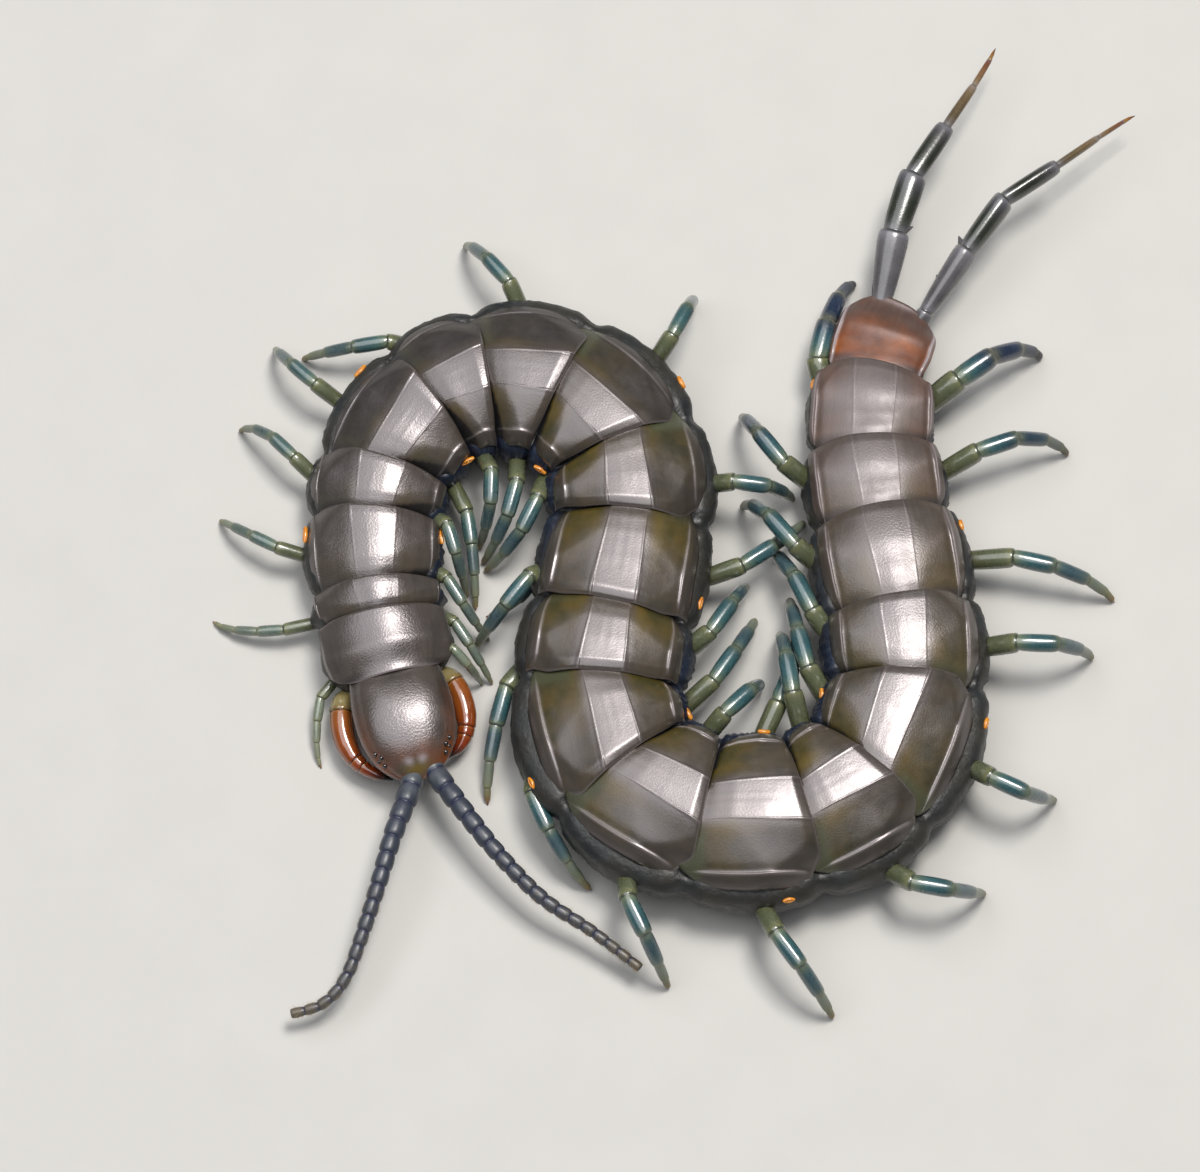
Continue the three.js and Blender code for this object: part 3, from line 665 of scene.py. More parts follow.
backPlate = {
    # one value for each plate
    "each": {
        # its rim and its edge as shares of the trunk's half width, and their heights as shares of its height
        "rim": [0.955, 0.93, 0.86, 0.84, 0.8, 0.78, 0.765, 0.755, 0.755, 0.755, 0.755,
                0.755, 0.755, 0.755, 0.755, 0.755, 0.76, 0.79, 0.86, 0.95, 0.98],
        "edge": [0.985, 0.97, 0.97, 0.95, 0.93, 0.92, 0.9, 0.885, 0.885, 0.885, 0.885,
                 0.885, 0.885, 0.885, 0.885, 0.885, 0.885, 0.9, 0.95, 1.0, 1.04],
        "rimUp": [0.66, 0.69, 0.76, 0.78, 0.81, 0.825, 0.835, 0.84, 0.84, 0.84, 0.84,
                  0.84, 0.84, 0.84, 0.84, 0.845, 0.845, 0.85, 0.85, 0.85, 0.82],
        "edgeUp": [0.56, 0.58, 0.6, 0.62, 0.64, 0.66, 0.68, 0.69, 0.69, 0.69, 0.69,
                   0.69, 0.69, 0.69, 0.69, 0.69, 0.69, 0.7, 0.73, 0.77, 0.74],
        # strength of the ridge along the rim, of the keels, of the drooping corners and of the rear strip
        "rimRidge": [0, 0, 0.3, 0.3, 0.4, 0.4, 0.4, 0.5, 0.6, 0.7, 0.8,
                     0.9, 1, 1, 1, 1, 1.2, 1.3, 1.4, 1.5, 1.2],
        "keel": [0, 0.3, 0.5, 0.6, 0.8, 0.8, 0.9, 1, 1, 1, 1,
                 1, 1, 1, 1, 0.8, 0.6, 0.5, 0.5, 0.5, 0],
        "droop": [0.3, 0.9, 0.9, 0.9, 1, 1, 1, 1, 1, 1, 1,
                  1, 1, 1, 1, 1, 1, 1, 1, 0.9, 0],
        "strip": [0.2, 0.4, 0.4, 0.5, 0.5, 0.6, 0.8, 1, 1, 1, 1,
                  1, 1, 1, 0.8, 0.6, 0.5, 0.5, 0.4, 0.4, 0],
        # width in mm of the sunk wedge at the front of the inner side of a bend
        "wedge": [0, 0.1, 0.6, 1.0, 1.3, 1.1, 0.8, 0.8, 0.5, 0.2, 0,
                  0, 0.4, 0.5, 0.5, 0.5, 0.3, 0.1, 0, 0, 0],
        # how far the rear corners stay behind the middle of the rear edge, in mm
        "bow": [0, 0, 0, 0, 0, 0, 0, 0, 0, 0, 0, 0, 0, 0, 0, 0, 0.05, 0.3, 0.25, 0.5, 2],
        "olive": [0.1, 0.2, 0.2, 0.25, 0.4, 0.4, 0.6, 0.85, 1, 1, 1,
                  1, 0.9, 1, 0.9, 0.85, 0.75, 0.6, 0.35, 0.15, 0],
        "rust": [0, 0, 0, 0, 0, 0, 0, 0, 0, 0, 0, 0, 0, 0, 0, 0, 0, 0.04, 0.1, 0.2, 1],
        # painted shade on the outer side of a bend, and depth of the pitted grain
        "shade": [0, 0, 0.2, 0.6, 0.75, 0.75, 0.75, 0.65, 0.3, 0.15, 0.1,
                  0.1, 0.15, 0.4, 0.4, 0.2, 0, 0, 0, 0, 0],
        "grain": [1, 1, 0.9, 0.8, 0.7, 0.6, 0.5, 0.4, 0.35, 0.35, 0.35,
                  0.35, 0.35, 0.35, 0.45, 0.55, 0.7, 0.7, 0.6, 0.5, 0.3],
        # how much duller it is than the most polished plates
        "satin": [0, 0, 0, 0, 0, 0, 0, 0, 0, 0, 0, 0, 0, 0, 0, 0, 0.02, 0.05, 0.12, 0.16, 0.06],
    },
    "rows": 44, "rowCrowding": 1.6, "thickness": 0.11, "underTaper": 0.6,
    # mm that the front lies under the plate ahead, that the first plate lies over the head, and that the
    # rear edge stands over the next plate
    "tuck": 0.6, "frontLip": 0.12, "overhang": 0.14,
    # how far the outer front corners are rounded back in mm, from which share of the edge on
    "frontRound": 1.6, "firstRound": 0.8, "roundFrom": 0.55,
    # rear corners cut off: mm on a straight plate, more in a bend, and at most
    "chamfer": (0.12, 0.7, 0.5),
    # narrowing or width along the plate: place and share
    "narrowing": [(-0.2, 0.1), (0, 0.07), (0.12, 0.04), (0.3, 0.01), (0.55, 0), (0.85, 0), (1.1, 0.015)],
    "firstWidth": [(-0.05, 0.97), (0.02, 1.03), (0.1, 1.07), (0.3, 1.05), (1, 1)],
    "lastWidth": [(0, 0.9), (0.3, 0.95), (0.7, 0.94), (1.1, 0.8)],
    # share by which the front corners are drawn in, and by which the outer side of a bend bulges out
    "cornerRound": 0.08, "outerBulge": 0.1,
    # height of the keels as a share of the trunk's, and how much the slope beside them is crowned
    "keelUp": 0.992, "crown": 0.04, "outerDrop": 0.04,
    # mm that the plate is lifted along its length
    "lift": [(-0.2, -0.4), (0, -0.28), (0.12, -0.12), (0.3, -0.02), (0.6, 0.04), (0.9, 0.07), (1.1, 0.07)],
    "firstLift": 0.05, "lastLift": 0.4, "lastDrop": 0.35,
    # in mm
    "keelPlace": 0.97, "keelWidth": 0.045, "keelHeight": (0.02, 0.035),
    "linePlace": 0.28, "lineWidth": 0.05, "lineHeight": 0.012,
    "rimWidth": 0.06, "rimHeight": 0.075, "rimGroove": (0.2, 0.12, 0.03),
    "sideDrop": 0.4, "stripWidth": 0.5, "stripDrop": 0.13, "lipWidth": 0.13, "lipDrop": 0.1,
    "cornerLength": 1.7, "cornerDrop": 0.45, "wedgeDepth": 0.42,
    "dentSize": 1.3, "dentDepth": 0.014,
    # spots in the paint and streaks along the plate, in mm
    "patchSize": 1.6, "streakSize": (0.16, 2.2),
}


def plateColumns(keel, edge):
    # shares of the rim's distance from the middle, closer together at the keel and the rim
    half = np.concatenate([
        np.linspace(0, 1, 30), keel + np.linspace(-0.04, 0.04, 7), 1 + np.linspace(-0.05, 0.04, 8),
        np.linspace(1.04, edge, 6),
    ])
    half = np.unique(np.round(half[half <= edge + 1e-6], 4))
    return np.concatenate([-half[:0:-1], half])


def closedSheet(top, under):
    # faces for two grids one above the other, joined around their border
    rows, columns = top.shape[:2]
    total = rows * columns
    faces = gridFaces(rows, columns) + gridFaces(rows, columns, start=total, flip=True)
    border = [(0, c) for c in range(columns)] + [(r, columns - 1) for r in range(1, rows)]
    border += [(rows - 1, c) for c in range(columns - 2, -1, -1)] + [(r, 0) for r in range(rows - 2, 0, -1)]
    for (r, c), (nextR, nextC) in zip(border, border[1:] + border[:1]):
        a, b = r * columns + c, nextR * columns + nextC
        faces.append((b, a, a + total, b + total))
    return np.concatenate([top.reshape(-1, 3), under.reshape(-1, 3)]), faces


def plateGrid(i, value):
    # u runs along the plate and v across it, with size 1 at the rim; the rows crowd at the rear lip
    at = SimpleNamespace(isFirst=i == 0, isLast=i == segmentCount - 1)
    length, middleWidth = pose["plateLengths"][i], pose["halfWidths"][i]
    at.rimReach = value["rim"] * middleWidth
    keel = backPlate["keelPlace"] / at.rimReach
    at.edge = value["edge"] / value["rim"]
    at.v = plateColumns(keel, at.edge)[None, :]
    at.size = size = np.abs(at.v)
    bend = np.interp(plateEdges[i] + length / 2, spineSteps, bendRate) * middleWidth * np.sign(at.v)
    at.outer = np.clip(-bend, 0, 1)
    intoCorner = np.clip((size / at.edge - backPlate["roundFrom"]) / (1 - backPlate["roundFrom"]), 0, 1)
    cut = backPlate["firstRound"] if at.isFirst else backPlate["frontRound"] * smooth(0.02, 0.3, at.outer)
    tuck = backPlate["frontLip"] if at.isFirst else backPlate["tuck"]
    first = (cut * (1 - np.sqrt(1 - intoCorner ** 2)) - tuck) / length
    straight, bent, most = backPlate["chamfer"]
    chamfer = 0.0 if at.isLast else np.minimum(straight + bent * at.outer, most)
    chamfer = chamfer * smooth(0.72, 1.05, size) ** 1.2 * at.edge
    overhang = backPlate["overhang"] * (2 if at.isLast else 1)
    bow = 1 - np.sqrt(1 - (size / at.edge).clip(0, 1) ** 3) if at.isLast else (size / at.edge) ** 2.2
    last = 1 + (overhang - chamfer - value["bow"] * bow) / length
    steps = 1 - (1 - np.linspace(0, 1, backPlate["rows"])[:, None]) ** backPlate["rowCrowding"]
    at.u = first + (last - first) * steps
    at.fromFront, at.fromRear = at.u * length, (last - at.u) * length  # mm
    at.keel = keel * (0.98 + 0.18 * smooth(0, 1, at.u))  # the keels part slightly to the rear
    # 0 at the keel, 1 at the rim, with a softer turn where the keels are faint
    lateral = (size - at.keel) / (1 - at.keel)
    lateral = (lateral + np.sqrt(lateral ** 2 + (0.4 - 0.3 * value["keel"]) ** 2)) / 2
    at.lateral = np.where(size > 1, lateral, lateral * smooth(0, 0.8, size / at.keel))
    if not value["keel"]:
        at.lateral = size ** 2 + 0 * at.u
    at.fromMiddle = size * at.rimReach  # mm
    at.rimLine = (bump(at.fromMiddle, at.rimReach, backPlate["rimWidth"]) * smooth(0.02, 0.14, at.u)
                  * smooth(0.1, 0.45, at.fromRear))
    at.ridge = 0.28 + 0.35 * np.clip(at.lateral, 0, 1)
    # the sunk wedge where the plate slides under the one ahead
    reach = value["wedge"] * smooth(0, 0.1, bend) * np.clip((size - keel * 0.6) / (1 - keel * 0.6), 0, 1)
    at.wedge = np.clip(1 - at.fromFront / np.maximum(reach, 0.001), 0, 1.2) * (reach > 0.02)
    return at


def plateWidth(i, value, at, halfHere):
    narrowing = 1 - np.interp(at.u, *zip(*backPlate["narrowing"])) * (1 - 0.7 * smooth(0, 0.4, at.outer))
    drawnIn = smooth(0.9, -0.4, at.fromFront) * smooth(0.75, 1, at.size / at.edge)
    narrowing = narrowing * (1 - backPlate["cornerRound"] * drawnIn)
    if at.isFirst:
        narrowing = np.interp(at.u, *zip(*backPlate["firstWidth"]))
    if at.isLast:
        narrowing = np.interp(at.u, *zip(*backPlate["lastWidth"])) * pose["halfWidths"][i] / halfHere
    bulge = smooth(0.05, 0.45, at.outer) * smooth(0.5, 1, at.size) * bump(at.u, 0.5, 0.42)
    return at.v * value["rim"] * halfHere * narrowing * (1 + backPlate["outerBulge"] * bulge)


def plateHeight(value, at, halfHere):
    # flat between the keels, sloping to the rim, rolled down outside it
    keelUp = backPlate["keelUp"]
    rimUp = value["rimUp"] - backPlate["outerDrop"] * smooth(0.1, 0.6, at.outer)
    share = keelUp + (rimUp - keelUp) * at.lateral
    share = share + backPlate["crown"] * (at.lateral * (1 - at.lateral)).clip(0)
    outside = np.clip((at.size - 1) / max(at.edge - 1, 0.01), 0, 1)
    share = np.where(at.size > 1, rimUp, share)
    share = share + (value["edgeUp"] - rimUp) * (0.35 * outside + 0.65 * outside ** 2)
    lift = np.interp(at.u, *zip(*backPlate["lift"]))
    if at.isFirst:
        lift = backPlate["firstLift"]
    if at.isLast:
        lift = backPlate["lastLift"] * lift - backPlate["lastDrop"] * at.u.clip(0)
    return pose["bellyHeight"] + halfHere * pose["heightPerHalfWidth"] * share + lift


def plateRelief(value, at):
    # corners droop fore and aft, with a soft ridge between them
    ahead = np.clip((at.ridge - at.u) / at.ridge, 0, None)
    behind = np.clip((at.u - at.ridge) / (1 - at.ridge), 0, None)
    weight = value["droop"] * backPlate["sideDrop"] * np.clip(at.lateral, 0, 1.2) ** 1.1
    relief = -weight * (0.55 * (ahead + ahead ** 2) + 0.75 * (0.35 * behind + 0.65 * behind ** 2))
    # rear strip, sloping down behind its crease, and the lip
    stripWidth = backPlate["stripWidth"] * (1 + 0.8 * at.outer * smooth(0.4, 1, at.lateral))
    intoStrip = np.clip(1 - at.fromRear / stripWidth, 0, 1)
    relief = relief - value["strip"] * backPlate["stripDrop"] * intoStrip * (1 + 0.3 * intoStrip)
    relief = relief - backPlate["lipDrop"] * np.clip(1 - at.fromRear / backPlate["lipWidth"], 0, 1) ** 2
    # the outer rear corner is folded down
    corner = np.clip((at.size - 0.5) / 0.5 - at.fromRear / backPlate["cornerLength"], 0, 1.4)
    relief = relief - value["droop"] * backPlate["cornerDrop"] * smooth(-0.05, 0.3, at.outer) * corner ** 1.2
    relief = relief - backPlate["wedgeDepth"] * at.wedge
    # keels, a fine line beside the middle, the ridge along the rim and the groove inside it
    keelLow, keelGrowth = backPlate["keelHeight"]
    keelLine = bump(at.fromMiddle, at.keel * at.rimReach, backPlate["keelWidth"]) * smooth(-0.05, 0.25, at.u)
    relief = relief + value["keel"] * (keelLow + keelGrowth * smooth(0.7, 1, at.u)) * keelLine
    fineLine = bump(at.fromMiddle, backPlate["linePlace"], backPlate["lineWidth"]) * smooth(0.9, 0.6, at.u)
    relief = relief + value["keel"] * backPlate["lineHeight"] * fineLine
    inside, grooveWidth, grooveDepth = backPlate["rimGroove"]
    groove = bump(at.fromMiddle, at.rimReach - inside, grooveWidth) * smooth(0.02, 0.2, at.u)
    return relief + value["rimRidge"] * (backPlate["rimHeight"] * at.rimLine - grooveDepth * groove)


def platePaint(i, value, at, top):
    patch = noiseAt(top, backPlate["patchSize"], 40 + i)
    field = smooth(0.05, 0.3, at.lateral) * smooth(1.15, 0.85, at.size)
    field = field * (0.25 + 0.75 * smooth(0.2, -0.4, at.u - at.ridge))
    warm = bump(at.lateral, 0.3, 0.22) * bump(at.u, 0.26, 0.24)
    streakWidth, streakLength = backPlate["streakSize"]
    alongPlate = [at.v * at.rimReach / streakWidth, at.fromFront / streakLength, 7 * i]
    streakPlaces = np.stack(np.broadcast_arrays(*alongPlate), axis=-1)
    if at.isLast:
        rust = (0.2 + 0.8 * smooth(0.85, 0.35, at.u + 0.1 * at.size ** 2)) * (0.8 + 0.35 * patch)
    else:
        rust = (0.3 + 0.7 * smooth(0.3, 0.8, at.size)) * (0.8 + 0.4 * patch)
    # painted highlight along the keels, the rim ridge and the rear lip; a pale front edge on the first plate
    # and a pale margin on the last
    paleTintAndPaintedHighlight = 0.22 * value["keel"] * bump(at.fromMiddle, at.keel * at.rimReach, 0.035) * smooth(-0.1, 0.3, at.u)
    paleTintAndPaintedHighlight = paleTintAndPaintedHighlight + 0.35 * value["rimRidge"] * at.rimLine
    paleTintAndPaintedHighlight = paleTintAndPaintedHighlight + 0.3 * value["strip"] * np.clip(1 - at.fromRear / 0.1, 0, 1)
    if at.isFirst:
        paleTintAndPaintedHighlight = paleTintAndPaintedHighlight + 0.5 * smooth(0.02, -0.03, at.u)
    if at.isLast:
        paleTintAndPaintedHighlight = paleTintAndPaintedHighlight + 0.8 * bump(at.size, 0.985, 0.03)
    # fresh shell shows where a bend pulls the plates apart; painted shade darkens the outer side of a bend, a
    # band behind the front edge under the plate ahead, and the sunk wedge where the plates slide together
    fresh = 0.85 * value["olive"] * smooth(0, 0.35, at.outer) * smooth(0.75, 0.35, at.fromFront)
    fresh = fresh * smooth(0.1, 0.4, at.lateral)
    paintedShade = value["shade"] * smooth(0.05, 0.4, at.outer) * smooth(0.05, 0.45, at.lateral)
    paintedShade = paintedShade + 0.75 * smooth(0.45, 0.05, at.fromFront) * smooth(0.1, 0.5, at.lateral)
    paintedShade = paintedShade * (1 - fresh) + 1.1 * smooth(0, 0.15, at.wedge)
    marks = {
        "olive": value["olive"] * (field + 0.12 * patch + 0.12),
        "amber": value["olive"] * warm * (0.35 + 0.5 * patch),
        "streak": 0.5 + 0.5 * noiseAt(streakPlaces, 1.0, 60), "rust": value["rust"] * rust, "paleTintAndPaintedHighlight": paleTintAndPaintedHighlight,
        "fresh": fresh, "paintedShade": paintedShade, "grain": value["grain"], "satin": value["satin"] + 0.12 * paintedShade,
    }
    ones = np.ones(at.u.shape)
    return {key: np.tile(np.clip(values * ones, 0, 1).ravel(), 2) for key, values in marks.items()}


def buildBackPlate(i):
    value = {key: row[i] for key, row in backPlate["each"].items()}
    at = plateGrid(i, value)
    halfHere = halfWidthAt(plateEdges[i] + np.clip(at.u, 0, 1) * pose["plateLengths"][i])
    wide = plateWidth(i, value, at, halfHere)
    centre, _, left = ruledFrame(i, at.u)
    level = centre + left * wide[..., None]
    dents = noiseAt(level + (0, 0, 3.0), backPlate["dentSize"], i + 1) * smooth(1.0, 0.8, at.size)
    tall = plateHeight(value, at, halfHere) + plateRelief(value, at) + backPlate["dentDepth"] * dents
    top = level + upward * tall[..., None]
    thickness = backPlate["thickness"]
    underWide = wide * (1 - backPlate["underTaper"] * thickness / pose["halfWidths"][i])
    underTall = tall - thickness * (1 - 0.4 * smooth(0.3, 0, at.fromRear))
    under = centre + left * underWide[..., None] + upward * underTall[..., None]
    points, faces = closedSheet(top, under)
    marks = platePaint(i, value, at, top)
    makePiece(f"backPlate{i + 1:02d}", points, faces, materials["shell"], (), marks)


for plateIndex in range(segmentCount):
    buildBackPlate(plateIndex)
print("back plates done")


# belly plates

bellyPlate = {
    "reach": 0.52, "along": (0.03, 0.95), "rows": 16, "columns": 27, "thickness": 0.1, "drop": 0.08,
    # mm that the sides and the ends curl up, and share by which the ends are narrower
    "sideCurl": 0.16, "endCurl": 0.06, "endNarrowing": 0.16,
    # the two lines along it: place, half width and height
    "suture": (0.42, 0.05, 0.04),
}


def buildBellyPlate(i):
    u = np.linspace(*bellyPlate["along"], bellyPlate["rows"])[:, None]
    v = np.linspace(-1, 1, bellyPlate["columns"])[None, :]
    size, toEnd = np.abs(v), np.abs(2 * u - 1)
    distance = plateEdges[i] + u * pose["plateLengths"][i]
    narrowing = 1 - smooth(0.7, 1.0, toEnd) * bellyPlate["endNarrowing"]
    wide = v * halfWidthAt(distance) * bellyPlate["reach"] * narrowing
    centre, _, left = spineFrame(np.broadcast_to(distance, wide.shape))
    suturePlace, sutureWidth, sutureHeight = bellyPlate["suture"]
    tall = pose["bellyHeight"] - bellyPlate["drop"] + bellyPlate["sideCurl"] * size ** 4
    tall = tall + sutureHeight * bump(size, suturePlace, sutureWidth)
    tall = tall + bellyPlate["endCurl"] * smooth(0.75, 1, toEnd)
    lower = centre + left * wide[..., None] + upward * tall[..., None]
    points, faces = closedSheet(lower + upward * bellyPlate["thickness"], lower)
    makePiece(f"bellyPlate{i + 1:02d}", points, faces, materials["belly"])


for plateIndex in range(segmentCount):
    buildBellyPlate(plateIndex)
print("belly plates done")


# breathing holes

breathingHole = {
    "segments": [3, 5, 8, 10, 12, 14, 16, 18, 20], "along": 0.74, "up": 0.56,
    # half length of the first ones and of the rear ones, and over how many segments it fades
    "length": 0.36, "rearLength": 0.19, "fading": 8,
    "width": 0.07, "rim": 0.09, "rimHeight": 0.108, "lift": 0.02, "sides": 24, "rimSides": 8,
}


def breathingHoleAt(segment, column):
    distance = plateEdges[segment - 1] + breathingHole["along"] * pose["plateLengths"][segment - 1]
    row = int(np.argmin(np.abs(skinDistances - distance)))
    middle = skinPoints[row, column]
    behindFirst = (segment - breathingHole["segments"][0]) / breathingHole["fading"]
    frontLength, rearLength = breathingHole["length"], breathingHole["rearLength"]
    length = rearLength + (frontLength - rearLength) * math.exp(-behindFirst)
    tailward = unit(skinPoints[row + 1, column] - skinPoints[row - 1, column])
    over = unit(skinPoints[row, column - 1] - skinPoints[row, column + 1])
    outward = unit(np.cross(tailward, over))
    if outward @ (skinPoints[row].mean(axis=0) - middle) > 0:
        outward = -outward
    rimRing, floor = [], []
    for angle in np.linspace(0, 2 * math.pi, breathingHole["sides"], endpoint=False):
        reach = tailward * math.cos(angle) * length + over * math.sin(angle) * breathingHole["width"]
        # the slit in the middle is a sunk floor
        floor.append(middle + outward * breathingHole["lift"] + reach)
        for turn in np.linspace(0, 2 * math.pi, breathingHole["rimSides"], endpoint=False):
            rise = breathingHole["lift"] + breathingHole["rimHeight"] * math.sin(turn)
            across = unit(reach) * breathingHole["rim"] * math.cos(turn)
            rimRing.append(middle + reach + across + outward * rise)
    count, around = breathingHole["sides"], breathingHole["rimSides"]
    faces = gridFaces(count, around, wrap=True)
    start = around * (count - 1)
    faces += [(start + b, start + (b + 1) % around, (b + 1) % around, b) for b in range(around)]
    faces.append(tuple(range(len(rimRing), len(rimRing) + count)))
    return np.array(rimRing + floor), faces, {}


def buildBreathingHoles(sideName):
    wrongSide = skinRing[:, 0] * sides[sideName] < 0.5
    column = int(np.argmin(np.abs(skinRing[:, 1] - breathingHole["up"]) + 9 * wrongSide))
    points, faces, _ = joinParts([breathingHoleAt(segment, column) for segment in breathingHole["segments"]])
    name = "breathingHoles" + sideName.capitalize()
    makePiece(name, points, faces, materials["breathingHole"])


for sideName in sides:
    buildBreathingHoles(sideName)
print("breathing holes done")


# limbs

# an article's outline from its near to its far joint: place, share of its radius, joint paint, seam paint
articleShape = [
    (0.0, 0.84, 0.1, 0.6), (0.02, 0.87, 0.3, 0.1), (0.05, 0.9, 0.25, 0), (0.12, 0.94, 0.1, 0),
    (0.25, 0.985, 0, 0), (0.4, 1.01, 0, 0), (0.56, 1.03, 0, 0), (0.7, 1.035, 0, 0),
    (0.82, 1.03, 0.05, 0), (0.9, 1.01, 0.15, 0), (0.955, 0.975, 0.35, 0), (0.99, 0.89, 0.1, 0.6),
]
beadShape = [
    (0.0, 0.78, 0.9, 0.8), (0.05, 0.84, 0.7, 0.1), (0.15, 0.9, 0.25, 0), (0.32, 0.95, 0, 0),
    (0.55, 0.99, 0, 0), (0.76, 1.0, 0, 0), (0.9, 0.95, 0.1, 0), (0.97, 0.85, 0.7, 0.2),
]


def jointedLimb(joints, articles, shape, ringSides, flatness=(1, 1), tip=0.3, bendRoom=0.16):
    # joints are the points between the articles, and articles holds each one's near and far radius
    joints = np.array(joints, float)
    directions = unit(np.diff(joints, axis=0))
    centres, axes, radii, joint, seam, along = [], [], [], [], [], []
    for k, (near, far) in enumerate(articles):
        before = unit(directions[k] + directions[max(k - 1, 0)])
        after = unit(directions[k] + directions[min(k + 1, len(directions) - 1)])
        for place, size, jointPaint, seamPaint in shape:
            atNear, atFar = smooth(bendRoom, 0, place), smooth(1 - bendRoom, 1, place)
            isPainted = k > 0 or place > 0.5
            axes.append(unit(directions[k] * (1 - atNear - atFar) + before * atNear + after * atFar))
            centres.append(joints[k] + (joints[k + 1] - joints[k]) * place)
            radii.append((near + (far - near) * place) * size)
            joint.append(jointPaint * isPainted)
            seam.append(seamPaint * isPainted)
            along.append((k + place) / len(articles))
    centres.append(joints[-1])
    axes.append(directions[-1])
    radii.append(articles[-1][1] * tip)
    points, faces = sweep(np.array(centres), np.array(axes), radii, ringSides, flatness)
    rings = {"joint": joint + [0], "seam": seam + [0], "along": along + [1]}
    return points, faces, {key: np.repeat(values, ringSides) for key, values in rings.items()}


def hook(points, radii, ringSides=10, rings=14):
    # a curved, tapering horn through the points
    shares = np.linspace(0, 1, rings)
    centres = alongLine(smoothPath(points, 12), shares)
    size = np.interp(shares, np.linspace(0, 1, len(radii)), radii)
    grid, faces = sweep(centres, unit(np.gradient(centres, axis=0)), size, ringSides)
    zero = np.zeros(rings * ringSides)
    return grid, faces, {"joint": zero, "seam": zero, "along": np.repeat(shares, ringSides)}


walkingLeg = {
    # the angle each leg is swung forward, the level reach of its claw and its sideways bow
    "left": [
        (56, 2.5, 0.3), (65, 4.7, 0.1), (58, 4.7, 0.4), (62, 4.2, 0.1), (51, 6.8, -0.2),
        (27, 4.2, -0.6), (12, 5.2, -0.8), (-15, 5.4, -1.1), (-55, 6.6, -1.6), (-60, 5.4, -0.5),
        (-87, 8.2, 0.4), (-106, 7.5, 0.8), (-57, 5.9, 0.3), (-36, 6.4, 0.3), (-57, 5.2, 1.1),
        (-2, 4.4, 1.4), (3, 5.7, 0.5), (23, 7.9, -0.3), (-10, 7, -0.6), (-37, 7.2, -0.6),
    ],
    "right": [
        (72, 4.8, -0.4), (-15, 5.4, 0.7), (-34, 5.5, 0.4), (-34, 5.5, -0.4), (-15, 5.3, 0.6),
        (72, 6.5, 0.5), (45, 5.8, 0.2), (22, 4.8, -0.4), (-7, 4.3, -0.7), (50, 6.7, -0.8),
        (68, 5.8, -0.4), (47, 7, -0.5), (-12, 4.5, -0.6), (-18, 7.7, -0.9), (-21, 6.1, 0.1),
        (-59, 6.9, 0.3), (-68, 7.2, -0.3), (-62, 6, 0.1), (-63, 5.9, 0.6), (-103, 8, 0.6),
    ],
    "frontLength": 5.2, "rearLength": 9.4, "growth": 5,
    "rootAlong": 0.5, "rootSide": 0.93, "rootHeight": 0.24, "rootDepth": 0.9,
    "archShares": (0.3, 0.85), "highestKnee": 4.8, "clawSink": 0.06,
    "ends": [0, 0.305, 0.53, 0.735, 0.885, 0.965],
    "radii": [(0.45, 0.5), (0.45, 0.42), (0.39, 0.33), (0.28, 0.23), (0.2, 0.15)],
    "fullSize": 9, "stout": 20, "stoutness": 1.25, "ringSides": 20, "clearance": 0.02,
    # paleness of the front legs and how many segments it fades over; how blue the rear ones are
    "young": (0.75, 2.2), "indigo": {19: 0.4, 20: 0.8},
    # the claw starts inside the last article: places along the leg, radii, radius and heights of its end
    "claw": [0.955, 0.975, 0.99, 1.0], "clawRadii": (0.13, 0.11, 0.07), "clawPoint": 0.02,
    "clawHeights": (0.07, 0.02),
}


def legArch(root, claw, bow, length):
    # raises the knee until the leg has its length
    w = np.linspace(0, 1, 201)[:, None]
    low, high = 0.0, walkingLeg["highestKnee"]
    nearShare, farShare = walkingLeg["archShares"]
    for _ in range(20):
        rise = (low + high) / 2
        a = root + (claw - root) * nearShare + bow + upward * rise
        b = root + (claw - root) * farShare + bow + upward * rise
        line = root * (1 - w) ** 3 + 3 * a * w * (1 - w) ** 2 + 3 * b * w ** 2 * (1 - w) + claw * w ** 3
        if measured(line)[-1] < length:
            low = rise
        else:
            high = rise
    return line


